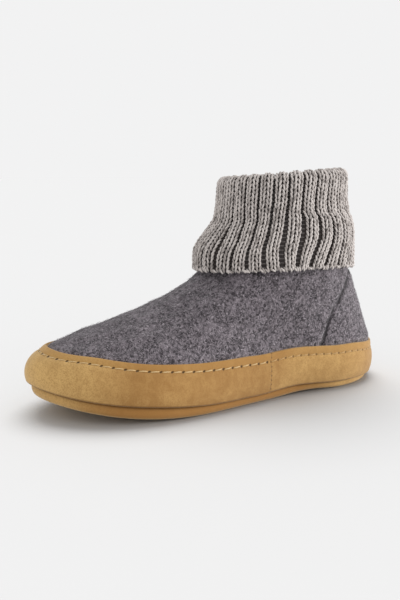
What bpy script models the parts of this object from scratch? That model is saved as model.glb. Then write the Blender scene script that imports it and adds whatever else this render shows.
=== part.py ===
"""Felt house boot for the left foot, with a suede band and sole and a turned-down knitted cuff.

Metres, +Z up. The toe points to -Y and the outer side of the foot is +X.
The origin is on the floor, at the middle of the box around the boot.
Places on the boot are given as side (outer side positive), along (from heel to toe) and height.
"""

import math
from collections import namedtuple

import bpy
import numpy as np

# Where the origin is, in side and along
ORIGIN_SIDE = 0.0002
ORIGIN_ALONG = 0.1296

# Clearance between pieces that touch in the real boot
GAP = 0.0003

# Sole
SOLE_LENGTH = 0.258
TOE_SPRING = 0.0140
TOE_SPRING_START = 0.155
WAIST_ARCH = 0.0016
WAIST_ALONG = 0.075
WAIST_HALF_LENGTH = 0.030
SLAB_STATIONS = 26

# Groove along the sole's edge, under the felt and the band
SEAM_GROOVE = 0.0008

# Footbed
FOOTBED_THICKNESS = 0.005

# Felt upper: its collar is an ellipse that rises a little towards the heel
FELT_THICKNESS = 0.0035
COLLAR_ALONG = 0.0758
COLLAR_HALF_LENGTH = 0.0450
COLLAR_HALF_WIDTH = 0.0360
COLLAR_HEIGHT = 0.1060
COLLAR_RISE_TO_HEEL = 0.03
UPPER_COLUMNS = 64
UPPER_ROWS_ABOVE_BAND = 9

# Suede band, from the sole's edge up the side of the felt
SUEDE_THICKNESS = 0.0019
BAND_SEAM_ALONG = 0.1112
BAND_ROWS = 5

# Knitted cuff: one ribbed sheet, up from the collar, folded over and down to a hem
KNIT_THICKNESS = 0.0018
RIB_COUNT = 28
RIB_PHASE = 0.48             # where the first rib starts, as a share of the pitch past the front
RIB_RELIEF = 0.0007
FOLD_RADIUS = 0.0045
FOLD_STEPS = 5
INNER_RINGS = 2              # rings that the standing leg follows below the rim
CUFF_SEAT = 0.0009          # sheet's middle above the collar, because its edge is cut square to its lean
HEM_FRONT_HEIGHT = 0.0866
HEM_BACK_HEIGHT = 0.0850
HEM_SIDE_LIFT = 0.0028
RIM_FRONT_HEIGHT = 0.1490
RIM_BACK_HEIGHT = 0.1542
RIM_OUTER_SIDE_LIFT = 0.0017

# Heights of the sole's edge and of the band above it, at places along the boot
Level = namedtuple("Level", "along height")
SOLE_EDGE = (
    Level(0.000, 0.0046),
    Level(0.045, 0.0053),
    Level(0.087, 0.0072),
    Level(0.118, 0.0057),
    Level(0.135, 0.0061),
    Level(0.200, 0.0086),
    Level(0.258, 0.0076),
)
BAND_HEIGHT = (
    Level(0.000, 0.0230),
    Level(0.045, 0.0266),
    Level(0.120, 0.0270),
    Level(0.165, 0.0276),
    Level(0.205, 0.0280),
    Level(0.238, 0.0284),
    Level(0.258, 0.0252),
)

# Felt wall around the foot, one row for each section from the sole's edge up to the collar.
# rise and flare: how far the wall first climbs from the sole and leans out.
# drop and spread: how far it hangs below the collar and leans out there.
Section = namedtuple("Section", "place side along rise flare drop spread")
SECTIONS = (
    Section("heel back", -0.0020, 0.0014, 0.0343, 0.0035, 0.0322, 0.0034),
    Section("heel inner", -0.0266, 0.0152, 0.0343, 0.0070, 0.0300, 0.0024),
    Section("waist inner", -0.0275, 0.096, 0.0362, 0.0042, 0.0350, 0.0040),
    Section("ball inner", -0.0445, 0.183, 0.0236, 0.0030, 0.0365, 0.0211),
    Section("big toe", -0.0340, 0.241, 0.0339, 0.0057, 0.0510, 0.0219),
    Section("toe tip", -0.0070, 0.258, 0.0379, 0.0077, 0.0570, 0.0312),
    Section("little toe", 0.0312, 0.2343, 0.0339, 0.0057, 0.0510, 0.0219),
    Section("ball outer", 0.0449, 0.160, 0.0236, 0.0030, 0.0365, 0.0211),
    Section("waist outer", 0.0342, 0.085, 0.0362, 0.0042, 0.0350, 0.0040),
    Section("heel outer", 0.0222, 0.0154, 0.0343, 0.0070, 0.0300, 0.0024),
)

# Outer face of the turned-down cuff, over the crests of its ribs; share is the height from hem to rim
CuffRing = namedtuple("CuffRing", "place share front_along back_along half_width")
CUFF_RINGS = (
    CuffRing("hem", 0.00, 0.1445, 0.0202, 0.0445),
    CuffRing("skirt", 0.25, 0.1430, 0.0205, 0.0440),
    CuffRing("lower bend", 0.45, 0.1340, 0.0218, 0.0428),
    CuffRing("bend", 0.57, 0.1285, 0.0246, 0.0415),
    CuffRing("upper bend", 0.68, 0.1272, 0.0270, 0.0402),
    CuffRing("rim", 1.00, 0.1255, 0.0280, 0.0390),
)

# One rib and the valley beside it: share of the pitch, and relief as a share of RIB_RELIEF
RibPoint = namedtuple("RibPoint", "share relief")
RIB_PROFILE = (
    RibPoint(0.00, 1.0),
    RibPoint(0.60, 1.0),
    RibPoint(0.72, -1.0),
    RibPoint(0.88, -1.0),
)

# Sections of the outsole's side and of the footbed, from the top down: distance in from the outline
EdgeRing = namedtuple("EdgeRing", "inset height")
OUTSOLE_EDGE = (
    EdgeRing(0.0016, 1.00),
    EdgeRing(0.0010, 0.72),
    EdgeRing(0.0011, 0.40),
    EdgeRing(0.0023, 0.10),
    EdgeRing(0.0047, 0.00),
)
FOOTBED_EDGE = (
    EdgeRing(0.0090, 1.00),
    EdgeRing(0.0066, 0.80),
    EdgeRing(0.0064, 0.00),
)

Finish = namedtuple("Finish", "name colour roughness")
FELT = Finish("grey_felt", (0.125, 0.112, 0.132), 0.95)
FOOTBED_FELT = Finish("footbed_felt", (0.150, 0.140, 0.150), 0.95)
SUEDE = Finish("tan_suede", (0.480, 0.275, 0.085), 0.85)
SOLE_SUEDE = Finish("sole_suede", (0.400, 0.205, 0.055), 0.85)
KNIT = Finish("grey_knit", (0.350, 0.320, 0.285), 0.95)

UP = np.array([0.0, 0.0, 1.0])
SMOOTH_ANGLE = math.radians(50)


def place(side, along, height):
    """World points for places on the boot."""
    side, along, height = np.broadcast_arrays(side, along, height)
    return np.stack([side - ORIGIN_SIDE, ORIGIN_ALONG - along, height], axis=-1)


def unit(vectors):
    return vectors / np.linalg.norm(vectors, axis=-1, keepdims=True)


def running_length(points):
    """Distance from the first point to each point along a row of points."""
    steps = np.linalg.norm(np.diff(points, axis=0), axis=1)
    return np.concatenate([[0.0], np.cumsum(steps)])


def ramp(values, low, high):
    """0 at low, 1 at high and smooth between."""
    share = np.clip((values - low) / (high - low), 0, 1)
    return share * share * (3 - 2 * share)


def closed_curve(rows, count):
    """Points on the closed cubic curve through the rows, smooth in slope and in curvature.

    The first two columns are the place in plan. The last point repeats the first.
    """
    total = len(rows)
    after = np.roll(rows, -1, axis=0)
    chord = np.linalg.norm((after - rows)[:, :2], axis=1)
    system = np.zeros((total, total))
    wanted = np.zeros_like(rows)
    for here in range(total):
        before, behind, ahead = here - 1, chord[here - 1], chord[here]
        system[here, before] += 1 / behind
        system[here, here] += 2 / behind + 2 / ahead
        system[here, (here + 1) % total] += 1 / ahead
        wanted[here] = 3 * ((rows[here] - rows[before]) / behind**2 + (after[here] - rows[here]) / ahead**2)
    slope = np.linalg.solve(system, wanted)
    knots = np.concatenate([[0.0], np.cumsum(chord)])
    travel = np.linspace(0.0, knots[-1], count)
    span = np.clip(np.searchsorted(knots, travel, side="right") - 1, 0, total - 1)
    t = ((travel - knots[span]) / chord[span])[:, None]
    reach = chord[span][:, None]
    return (
        (2 * t**3 - 3 * t**2 + 1) * rows[span]
        + (t**3 - 2 * t**2 + t) * reach * slope[span]
        + (3 * t**2 - 2 * t**3) * after[span]
        + (t**3 - t**2) * reach * np.roll(slope, -1, axis=0)[span]
    )


def toe_lift(along):
    """How far the sole curves up from the floor towards the toe."""
    spring = np.clip((along - TOE_SPRING_START) / (SOLE_LENGTH - TOE_SPRING_START), 0, None)
    return TOE_SPRING * spring**2


def level(along, table):
    """Height at places along the boot, smooth between the rows of a table."""
    height = table[0].height
    for start, end in zip(table, table[1:]):
        height = height + (end.height - start.height) * ramp(along, start.along, end.along)
    return height


def sole_edge(along):
    return level(along, SOLE_EDGE)


def waist_arch(along):
    """How far the sole's underside clears the floor between heel and ball."""
    share = np.clip((along - WAIST_ALONG) / WAIST_HALF_LENGTH, -1, 1)
    return WAIST_ARCH * (1 - share**2) ** 2


class Last:
    """The felt wall's outer face: curves that climb from the sole's edge to the collar."""

    FINE = 1600
    CURVE_STEPS = 80
    SHARE_BY_COLLAR = 0.2

    def __init__(self):
        rows = np.array([section[1:] for section in SECTIONS])
        ring = closed_curve(rows, self.FINE)[:-1]
        ring = np.roll(ring, -int(np.argmin(ring[:, 1])), axis=0)
        self.fine = np.concatenate([ring, ring[:1]])
        self.toe = int(np.argmax(ring[:, 1]))
        length = running_length(self.fine[:, :2])
        angle = np.unwrap(np.arctan2(self.fine[:, 0], COLLAR_ALONG - self.fine[:, 1]))
        turn = (angle - angle[0]) / (angle[-1] - angle[0])
        self.measure = (1 - self.SHARE_BY_COLLAR) * length / length[-1] + self.SHARE_BY_COLLAR * turn

    def columns(self):
        """Evenly spread shares around the boot, starting at the heel and going round by the inner side."""
        return np.arange(UPPER_COLUMNS) / UPPER_COLUMNS

    def share_at(self, along, outer):
        """The share around the boot where the sole's edge passes a place along it, on one side."""
        part = slice(self.toe, None) if outer else slice(0, self.toe + 1)
        step = -1 if outer else 1
        return np.interp(along, self.fine[part, 1][::step], self.measure[part][::step])

    def ladder(self):
        """Shares around the boot for a slab: heel tip, inner side, toe tip and back by the outer side.

        The two sides have their points in pairs at the same places along the boot.
        """
        heel, toe = self.fine[0, 1], self.fine[self.toe, 1]
        turns = np.pi * np.arange(1, SLAB_STATIONS + 1) / (SLAB_STATIONS + 1)
        along = heel + (toe - heel) * (1 - np.cos(turns)) / 2
        inner = self.share_at(along, outer=False)
        outer = self.share_at(along, outer=True)
        return np.concatenate([[0.0], inner, [self.measure[self.toe]], outer[::-1]])

    def table(self, shares):
        """Section values at shares around the boot."""
        return np.stack([np.interp(shares, self.measure, column) for column in self.fine.T], axis=1)

    def outline(self, shares, inset=0.0):
        """Side and along of the sole's edge line, moved in by a distance."""
        step = 1e-3
        ahead = self.table((shares + step) % 1.0)[:, :2]
        behind = self.table((shares - step) % 1.0)[:, :2]
        run = unit(ahead - behind)
        outward = np.stack([-run[:, 1], run[:, 0]], axis=1)
        edge = self.table(shares)[:, :2] - inset * outward
        return edge[:, 0], edge[:, 1], outward

    def curves(self, shares):
        """Four control points for each climbing curve."""
        side, along, outward = self.outline(shares)
        rise, flare, drop, spread = self.table(shares)[:, 2:].T
        foot = place(side, along, sole_edge(along) + SEAM_GROOVE + toe_lift(along))
        lean = np.stack([outward[:, 0], -outward[:, 1], np.zeros_like(side)], axis=1)
        angle = np.arctan2(side, along - COLLAR_ALONG)
        radius = 1 / np.hypot(np.cos(angle) / COLLAR_HALF_LENGTH, np.sin(angle) / COLLAR_HALF_WIDTH)
        collar_along = COLLAR_ALONG + radius * np.cos(angle)
        collar = place(radius * np.sin(angle), collar_along, collar_height(collar_along))
        away = unit((foot - place(0.0, COLLAR_ALONG, 0.0)) * (1, 1, 0))
        low = foot + UP * rise[:, None] + lean * flare[:, None]
        high = collar - UP * drop[:, None] + away * spread[:, None]
        return foot, low, high, collar

    def wall(self, shares, distances):
        """Points at distances up each climbing curve, as (column, row, xyz)."""
        t = np.linspace(0, 1, self.CURVE_STEPS)[None, :, None]
        foot, low, high, collar = (control[:, None] for control in self.curves(shares))
        path = (1 - t) ** 3 * foot + 3 * (1 - t) ** 2 * t * low + 3 * (1 - t) * t**2 * high + t**3 * collar
        grid = []
        for curve, wanted in zip(path, distances(path)):
            length = running_length(curve)
            grid.append(np.stack([np.interp(wanted, length, axis) for axis in curve.T], axis=1))
        return np.array(grid)

    def band_heights(self, shares):
        """Height of the band up the felt at each column."""
        return level(self.table(shares)[:, 1], BAND_HEIGHT)

    def band_grid(self, shares):
        """The strip of wall under the band."""
        heights = self.band_heights(shares)
        return self.wall(shares, lambda path: np.linspace(0, heights, BAND_ROWS).T)

    def upper_grid(self, shares):
        """The whole wall, with rows that match the band's."""
        heights = self.band_heights(shares)

        def distances(path):
            rows = []
            for curve, height in zip(path, heights):
                under_band = np.linspace(0, height, BAND_ROWS)
                above = np.linspace(height, running_length(curve)[-1], UPPER_ROWS_ABOVE_BAND + 1)
                rows.append(np.concatenate([under_band, above[1:]]))
            return rows

        return self.wall(shares, distances)


def collar_height(along):
    return COLLAR_HEIGHT + COLLAR_RISE_TO_HEEL * (COLLAR_ALONG - along)


def cuff_ring(ring, inset, angles):
    """A ring of the turned-down leg, moved in from the crests of the ribs."""
    middle = (ring.front_along + ring.back_along) / 2
    half_length = (ring.front_along - ring.back_along) / 2 - inset
    towards_front = (1 + np.cos(angles)) / 2
    hem = HEM_BACK_HEIGHT + (HEM_FRONT_HEIGHT - HEM_BACK_HEIGHT) * towards_front
    hem = hem + HEM_SIDE_LIFT * np.sin(angles) ** 2
    rim = RIM_BACK_HEIGHT + (RIM_FRONT_HEIGHT - RIM_BACK_HEIGHT) * towards_front
    rim = rim + RIM_OUTER_SIDE_LIFT * np.sin(angles)
    height = hem + (rim - hem) * ring.share
    return place((ring.half_width - inset) * np.sin(angles), middle + half_length * np.cos(angles), height)


def cuff_sheet():
    """The middle of the knitted sheet, as (column, row, xyz): hem, up, over the fold and down to the collar."""
    pitches = np.array([rib + point.share for rib in range(RIB_COUNT) for point in RIB_PROFILE]) + RIB_PHASE
    relief = RIB_RELIEF * np.array([point.relief for _ in range(RIB_COUNT) for point in RIB_PROFILE])
    angles = 2 * math.pi * pitches / RIB_COUNT
    depth = RIB_RELIEF + KNIT_THICKNESS / 2
    shoulder = UP * (depth + FOLD_RADIUS)
    rows = [cuff_ring(ring, depth, angles) - shoulder * ring.share for ring in CUFF_RINGS]
    for step in range(1, FOLD_STEPS):
        turn = math.pi * step / FOLD_STEPS
        inset = depth + FOLD_RADIUS * (1 - math.cos(turn))
        rows.append(cuff_ring(CUFF_RINGS[-1], inset, angles) - shoulder + UP * FOLD_RADIUS * math.sin(turn))
    for ring in reversed(CUFF_RINGS[-INNER_RINGS:]):
        rows.append(cuff_ring(ring, depth + 2 * FOLD_RADIUS, angles) - shoulder * ring.share)
    inset = FELT_THICKNESS / 2
    along = COLLAR_ALONG + (COLLAR_HALF_LENGTH - inset) * np.cos(angles)
    rows.append(place((COLLAR_HALF_WIDTH - inset) * np.sin(angles), along, collar_height(along) + CUFF_SEAT))
    sheet = np.stack(rows, axis=1)
    around = np.roll(sheet, -1, axis=0) - np.roll(sheet, 1, axis=0)
    normals = unit(np.cross(around, np.gradient(sheet, axis=1)))
    normals[:, -1, 2] = 0.0
    return sheet + normals * relief[:, None, None]


def clear_scene():
    for item in list(bpy.data.objects):
        bpy.data.objects.remove(item, do_unlink=True)


def material_of(finish):
    material = bpy.data.materials.new(finish.name)
    material.use_nodes = True
    shader = material.node_tree.nodes["Principled BSDF"]
    shader.inputs["Base Color"].default_value = (*finish.colour, 1.0)
    shader.inputs["Roughness"].default_value = finish.roughness
    shader.inputs["Metallic"].default_value = 0.0
    return material


def add_piece(name, mesh, finish, parent, collection):
    mesh.materials.append(material_of(finish))
    mesh.shade_smooth()
    mesh.set_sharp_from_angle(angle=SMOOTH_ANGLE)
    piece = bpy.data.objects.new(name, mesh)
    piece.parent = parent
    collection.objects.link(piece)
    return piece


def quad_faces(columns, rows, closed):
    """Quads over a grid of points numbered row by row within each column."""
    last = columns if closed else columns - 1
    return [
        (
            column * rows + row,
            (column + 1) % columns * rows + row,
            (column + 1) % columns * rows + row + 1,
            column * rows + row + 1,
        )
        for column in range(last)
        for row in range(rows - 1)
    ]


def sheet_mesh(name, grid, closed):
    """An open surface through a grid of points, with its outer side to the right of its columns."""
    columns, rows = grid.shape[:2]
    mesh = bpy.data.meshes.new(name)
    mesh.from_pydata(grid.reshape(-1, 3).tolist(), [], quad_faces(columns, rows, closed))
    return mesh


def thicken(piece, thickness, offset):
    """Turn a surface into a wall. Offset -1 grows it inwards, 0 both ways and 1 outwards."""
    wall = piece.modifiers.new("wall", "SOLIDIFY")
    wall.thickness = thickness
    wall.offset = offset
    wall.use_even_offset = True
    wall.use_rim = True


def slab_mesh(name, last, edge, underside, top):
    """A slab with the boot's outline, through the rings of its edge from the top down."""
    shares = last.ladder()
    rings = []
    for ring in reversed(edge):
        side, along, _ = last.outline(shares, ring.inset)
        low, high = underside(along), top(along)
        rings.append(place(side, along, low + (high - low) * ring.height))
    grid = np.stack(rings, axis=1)
    columns, rows = grid.shape[:2]
    faces = quad_faces(columns, rows, closed=True)
    for near in range(columns // 2):
        # The rungs at the two tips have only three corners
        rung = dict.fromkeys((near, near + 1, columns - near - 1, (columns - near) % columns))
        faces.append([column * rows + rows - 1 for column in rung])
        faces.append([column * rows for column in reversed(rung)])
    mesh = bpy.data.meshes.new(name)
    mesh.from_pydata(grid.reshape(-1, 3).tolist(), [], faces)
    return mesh


def add_outsole(last, parent, collection):
    mesh = slab_mesh(
        "outsole",
        last,
        OUTSOLE_EDGE,
        underside=lambda along: toe_lift(along) + waist_arch(along),
        top=lambda along: sole_edge(along) + toe_lift(along),
    )
    add_piece("outsole", mesh, SOLE_SUEDE, parent, collection)


def footbed_underside(along):
    return sole_edge(along) + toe_lift(along) + GAP


def add_insole(last, parent, collection):
    mesh = slab_mesh(
        "insole",
        last,
        FOOTBED_EDGE,
        underside=footbed_underside,
        top=lambda along: footbed_underside(along) + FOOTBED_THICKNESS,
    )
    add_piece("insole", mesh, FOOTBED_FELT, parent, collection)


def add_upper(last, parent, collection):
    mesh = sheet_mesh("upper", last.upper_grid(last.columns()), closed=True)
    piece = add_piece("upper", mesh, FELT, parent, collection)
    thicken(piece, FELT_THICKNESS, offset=-1)


def add_bands(last, parent, collection):
    """Front and heel bands, which meet at an upright seam on each side."""
    inner = last.share_at(BAND_SEAM_ALONG, outer=False)
    outer = last.share_at(BAND_SEAM_ALONG, outer=True)
    slack = GAP / 2 / running_length(last.fine[:, :2])[-1]
    columns = last.columns()
    front = columns[(columns > inner) & (columns < outer)]
    heel = np.concatenate([columns[columns > outer] - 1, columns[columns < inner]])
    spans = {
        "band_front": np.concatenate([[inner + slack], front, [outer - slack]]),
        "band_heel": np.concatenate([[outer - 1 + slack], heel, [inner - slack]]),
    }
    for name, shares in spans.items():
        mesh = sheet_mesh(name, last.band_grid(shares % 1.0), closed=False)
        piece = add_piece(name, mesh, SUEDE, parent, collection)
        thicken(piece, SUEDE_THICKNESS, offset=1 + 2 * GAP / SUEDE_THICKNESS)


def add_cuff(parent, collection):
    mesh = sheet_mesh("cuff", cuff_sheet(), closed=True)
    piece = add_piece("cuff", mesh, KNIT, parent, collection)
    thicken(piece, KNIT_THICKNESS, offset=0)


def main():
    clear_scene()
    collection = bpy.data.collections.new("felt_house_boot")
    bpy.context.scene.collection.children.link(collection)
    parent = bpy.data.objects.new("felt_house_boot", None)
    collection.objects.link(parent)
    last = Last()
    add_outsole(last, parent, collection)
    add_insole(last, parent, collection)
    add_upper(last, parent, collection)
    add_bands(last, parent, collection)
    add_cuff(parent, collection)


main()
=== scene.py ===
"""Looks of a felt house boot: felt upper, suede band and sole, stitching and a turned-down rib-knit cuff.

Metres, +Z up. The toe points to -Y and the outer side of the foot is +X.
Places on the boot are given as side (outer side positive), along (from heel to toe) and height.
"""

import math
from collections import namedtuple

import bmesh
import bpy
import numpy as np
from bpy.props import FloatProperty, FloatVectorProperty, IntProperty, PointerProperty
from bpy.types import Operator, Panel, PropertyGroup
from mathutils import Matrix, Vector


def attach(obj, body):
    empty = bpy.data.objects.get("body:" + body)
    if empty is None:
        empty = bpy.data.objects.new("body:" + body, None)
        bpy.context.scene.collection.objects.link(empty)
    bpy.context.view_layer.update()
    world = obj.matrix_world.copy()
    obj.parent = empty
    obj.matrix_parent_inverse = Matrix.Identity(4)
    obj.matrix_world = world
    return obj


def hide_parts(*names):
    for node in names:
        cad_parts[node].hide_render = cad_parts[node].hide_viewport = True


bl_info = {
    "name": "Felt House Boot",
    "version": (1, 0, 0),
    "blender": (4, 5, 0),
    "location": "3D View > Sidebar > House Boot",
    "description": "Dresses the packed boot with felt, suede, stitching and a rib-knit cuff",
    "category": "Object",
}

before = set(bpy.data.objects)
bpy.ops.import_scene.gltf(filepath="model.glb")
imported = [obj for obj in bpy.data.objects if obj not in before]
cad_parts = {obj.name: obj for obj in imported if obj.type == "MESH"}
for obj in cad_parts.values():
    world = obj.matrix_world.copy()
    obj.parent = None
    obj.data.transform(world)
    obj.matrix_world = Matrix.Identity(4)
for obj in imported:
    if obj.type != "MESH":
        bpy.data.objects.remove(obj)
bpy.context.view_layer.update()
BODY = "root"
PIECES = "felt_house_boot"
MERGE = 1e-6

# Where the origin is, in side and along
ORIGIN_SIDE = 0.0002
ORIGIN_ALONG = 0.1296

# Clearance between pieces that touch in the real boot
GAP = 0.0003

# Sole
SOLE_LENGTH = 0.258
TOE_SPRING = 0.0140
TOE_SPRING_START = 0.155
WAIST_ARCH = 0.0016
WAIST_ALONG = 0.075
WAIST_HALF_LENGTH = 0.030
SEAM_GROOVE = 0.0008
FOOTBED_THICKNESS = 0.005

# Felt upper and its collar
FELT_THICKNESS = 0.0035
COLLAR_ALONG = 0.0758
COLLAR_HALF_LENGTH = 0.0450
COLLAR_HALF_WIDTH = 0.0360
COLLAR_HEIGHT = 0.1060
COLLAR_RISE_TO_HEEL = 0.03

# Suede band
SUEDE_THICKNESS = 0.0019
BAND_SEAM_ALONG = 0.1112

# Knitted cuff; the phase is where the first rib past the front has its middle, in pitches
RIB_COUNT = 28
RIB_PHASE = 0.78
SHEET_DEPTH = 0.0016
FOLD_RADIUS = 0.0045
CUFF_SEAT = 0.0009
HEM_FRONT_HEIGHT = 0.0866
HEM_BACK_HEIGHT = 0.0850
HEM_SIDE_LIFT = 0.0028
RIM_FRONT_HEIGHT = 0.1490
RIM_BACK_HEIGHT = 0.1542
RIM_OUTER_SIDE_LIFT = 0.0017

# Share of the cuff's height where its inner leg turns in to the collar
INNER_LEG_FOOT = 0.68

# Heights of the sole's edge and of the band above it, at places along the boot
Level = namedtuple("Level", "along height")
SOLE_EDGE = (
    Level(0.000, 0.0046),
    Level(0.045, 0.0053),
    Level(0.087, 0.0072),
    Level(0.118, 0.0057),
    Level(0.135, 0.0061),
    Level(0.200, 0.0086),
    Level(0.258, 0.0076),
)
BAND_HEIGHT = (
    Level(0.000, 0.0230),
    Level(0.045, 0.0266),
    Level(0.120, 0.0270),
    Level(0.165, 0.0276),
    Level(0.205, 0.0280),
    Level(0.238, 0.0284),
    Level(0.258, 0.0252),
)

# Felt wall around the foot, one row for each section from the sole's edge up to the collar.
# rise and flare: how far the wall first climbs from the sole and leans out.
# drop and spread: how far it hangs below the collar and leans out there.
Section = namedtuple("Section", "place side along rise flare drop spread")
SECTIONS = (
    Section("heel back", -0.0020, 0.0014, 0.0343, 0.0035, 0.0322, 0.0034),
    Section("heel inner", -0.0266, 0.0152, 0.0343, 0.0070, 0.0300, 0.0024),
    Section("waist inner", -0.0275, 0.096, 0.0362, 0.0042, 0.0350, 0.0040),
    Section("ball inner", -0.0445, 0.183, 0.0236, 0.0030, 0.0365, 0.0211),
    Section("big toe", -0.0340, 0.241, 0.0339, 0.0057, 0.0510, 0.0219),
    Section("toe tip", -0.0070, 0.258, 0.0379, 0.0077, 0.0570, 0.0312),
    Section("little toe", 0.0312, 0.2343, 0.0339, 0.0057, 0.0510, 0.0219),
    Section("ball outer", 0.0449, 0.160, 0.0236, 0.0030, 0.0365, 0.0211),
    Section("waist outer", 0.0342, 0.085, 0.0362, 0.0042, 0.0350, 0.0040),
    Section("heel outer", 0.0222, 0.0154, 0.0343, 0.0070, 0.0300, 0.0024),
)

# Outer face of the turned-down cuff, over the crests of its ribs; share is the height from hem to rim
CuffRing = namedtuple("CuffRing", "place share front_along back_along half_width")
CUFF_RINGS = (
    CuffRing("hem", 0.00, 0.1445, 0.0202, 0.0445),
    CuffRing("skirt", 0.25, 0.1430, 0.0205, 0.0440),
    CuffRing("lower bend", 0.45, 0.1340, 0.0218, 0.0428),
    CuffRing("bend", 0.57, 0.1285, 0.0246, 0.0415),
    CuffRing("upper bend", 0.68, 0.1272, 0.0270, 0.0402),
    CuffRing("rim", 1.00, 0.1255, 0.0280, 0.0390),
)

# Sections of the outsole's side and of the footbed, from the top down: distance in from the outline
EdgeRing = namedtuple("EdgeRing", "inset height")
OUTSOLE_EDGE = (
    EdgeRing(0.0016, 1.00),
    EdgeRing(0.0010, 0.72),
    EdgeRing(0.0011, 0.40),
    EdgeRing(0.0023, 0.10),
    EdgeRing(0.0047, 0.00),
)
FOOTBED_EDGE = (
    EdgeRing(0.0090, 1.00),
    EdgeRing(0.0066, 0.80),
    EdgeRing(0.0064, 0.00),
)

# Seam that joins the heel panel of the felt to its sides
SeamPoint = namedtuple("SeamPoint", "along height")
HEEL_SEAM = (
    SeamPoint(0.0240, 0.0880),
    SeamPoint(0.0387, 0.0758),
    SeamPoint(0.0482, 0.0675),
    SeamPoint(0.0568, 0.0575),
    SeamPoint(0.0607, 0.0502),
    SeamPoint(0.0668, 0.0343),
    SeamPoint(0.0700, 0.0150),
)

# How far round the leg the ribs lean as they sag, in pitches: in front, at the side and behind the ankle
SwayPoint = namedtuple("SwayPoint", "share front side back")
SWAY = (
    SwayPoint(0.00, 0.33, 0.20, -0.36),
    SwayPoint(0.10, 0.38, 0.16, -0.18),
    SwayPoint(0.33, 0.46, 0.05, 0.20),
    SwayPoint(0.46, 0.24, -0.10, 0.06),
    SwayPoint(0.58, 0.08, -0.20, -0.12),
    SwayPoint(0.72, 0.00, -0.06, -0.16),
    SwayPoint(1.00, 0.00, 0.00, 0.00),
)

# Painted light and sheen on the band's suede at places along the boot: how far it turns pale, or darker
# below 0
PaintedLightPoint = namedtuple("PaintedLightPoint", "along pale")
BAND_PAINTED_LIGHT = (
    PaintedLightPoint(0.010, -0.12),
    PaintedLightPoint(0.030, 0.35),
    PaintedLightPoint(0.085, 0.45),
    PaintedLightPoint(0.115, 0.10),
    PaintedLightPoint(0.150, 0.00),
    PaintedLightPoint(0.213, 0.02),
    PaintedLightPoint(0.250, 0.74),
)

# One arm of a knitted V: across in wales, up in courses, out and thickness in yarn radii
ArmPoint = namedtuple("ArmPoint", "across up out thickness")
ARM = (
    ArmPoint(0.14, -0.24, -0.60, 0.55),
    ArmPoint(0.17, 0.10, 0.50, 0.95),
    ArmPoint(0.25, 0.50, 1.00, 1.05),
    ArmPoint(0.33, 0.90, 0.50, 0.95),
    ArmPoint(0.36, 1.24, -0.60, 0.55),
)

# Wide soft lights, each for the floor or for the boot alone; source points to where the light comes from
Lamp = namedtuple("Lamp", "name strength source spread lit")
LAMPS = (
    Lamp("shadow_light", 2.6, (-0.30, 0.13, 0.95), 50, "floor"),
    Lamp("heel_light", 4.0, (0.45, 0.89, 0.075), 42, "boot"),
)

UP = np.array([0.0, 0.0, 1.0])
SMOOTH_ANGLE = math.radians(65)


def place(side, along, height):
    """World points for places on the boot."""
    side, along, height = np.broadcast_arrays(side, along, height)
    return np.stack([side - ORIGIN_SIDE, ORIGIN_ALONG - along, height], axis=-1)


def unit(vectors):
    return vectors / np.linalg.norm(vectors, axis=-1, keepdims=True)


def running_length(points):
    """Distance from the first point to each point along a row of points."""
    steps = np.linalg.norm(np.diff(points, axis=0), axis=1)
    return np.concatenate([[0.0], np.cumsum(steps)])


def sampled(wanted, travel, rows):
    """Rows of points at wanted distances along a line whose own distances are travel."""
    return np.stack([np.interp(wanted, travel, axis) for axis in rows.T], axis=-1)


def bell(distance, width):
    """A soft hump that is 1 at no distance and dies away over the width."""
    return np.exp(-((distance / width) ** 2))


def ramp(values, low, high):
    """0 at low, 1 at high and smooth between; low may be above high."""
    share = np.clip((values - low) / (high - low), 0, 1)
    return share * share * (3 - 2 * share)


def turned(angles):
    """Angles brought to the range from -pi to pi."""
    return (angles + math.pi) % (2 * math.pi) - math.pi


def between(t, first, second, leaving, arriving):
    """Points on a cubic curve from first to second, with its slopes at both."""
    return (
        (2 * t**3 - 3 * t**2 + 1) * first
        + (t**3 - 2 * t**2 + t) * leaving
        + (3 * t**2 - 2 * t**3) * second
        + (t**3 - t**2) * arriving
    )


def smooth_rows(knots, rows, wanted):
    """Rows at wanted places on the smooth curve through rows at knots."""
    slopes = np.gradient(rows, knots, axis=0)
    span = np.clip(np.searchsorted(knots, wanted, side="right") - 1, 0, len(knots) - 2)
    reach = (knots[span + 1] - knots[span])[:, None]
    t = (wanted - knots[span])[:, None] / reach
    return between(t, rows[span], rows[span + 1], reach * slopes[span], reach * slopes[span + 1])


def closed_curve(rows, count):
    """Points on the closed cubic curve through the rows, smooth in slope and in curvature.

    The first two columns are the place in plan. The last point repeats the first.
    """
    total = len(rows)
    after = np.roll(rows, -1, axis=0)
    chord = np.linalg.norm((after - rows)[:, :2], axis=1)
    system = np.zeros((total, total))
    wanted = np.zeros_like(rows)
    for here in range(total):
        before, behind, ahead = here - 1, chord[here - 1], chord[here]
        system[here, before] += 1 / behind
        system[here, here] += 2 / behind + 2 / ahead
        system[here, (here + 1) % total] += 1 / ahead
        wanted[here] = 3 * ((rows[here] - rows[before]) / behind**2 + (after[here] - rows[here]) / ahead**2)
    slope = np.linalg.solve(system, wanted)
    knots = np.concatenate([[0.0], np.cumsum(chord)])
    travel = np.linspace(0.0, knots[-1], count)
    span = np.clip(np.searchsorted(knots, travel, side="right") - 1, 0, total - 1)
    t = ((travel - knots[span]) / chord[span])[:, None]
    reach = chord[span][:, None]
    leaving, arriving = reach * slope[span], reach * np.roll(slope, -1, axis=0)[span]
    return between(t, rows[span], after[span], leaving, arriving)


def toe_lift(along):
    """How far the sole curves up from the floor towards the toe."""
    spring = np.clip((along - TOE_SPRING_START) / (SOLE_LENGTH - TOE_SPRING_START), 0, None)
    return TOE_SPRING * spring**2


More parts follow.
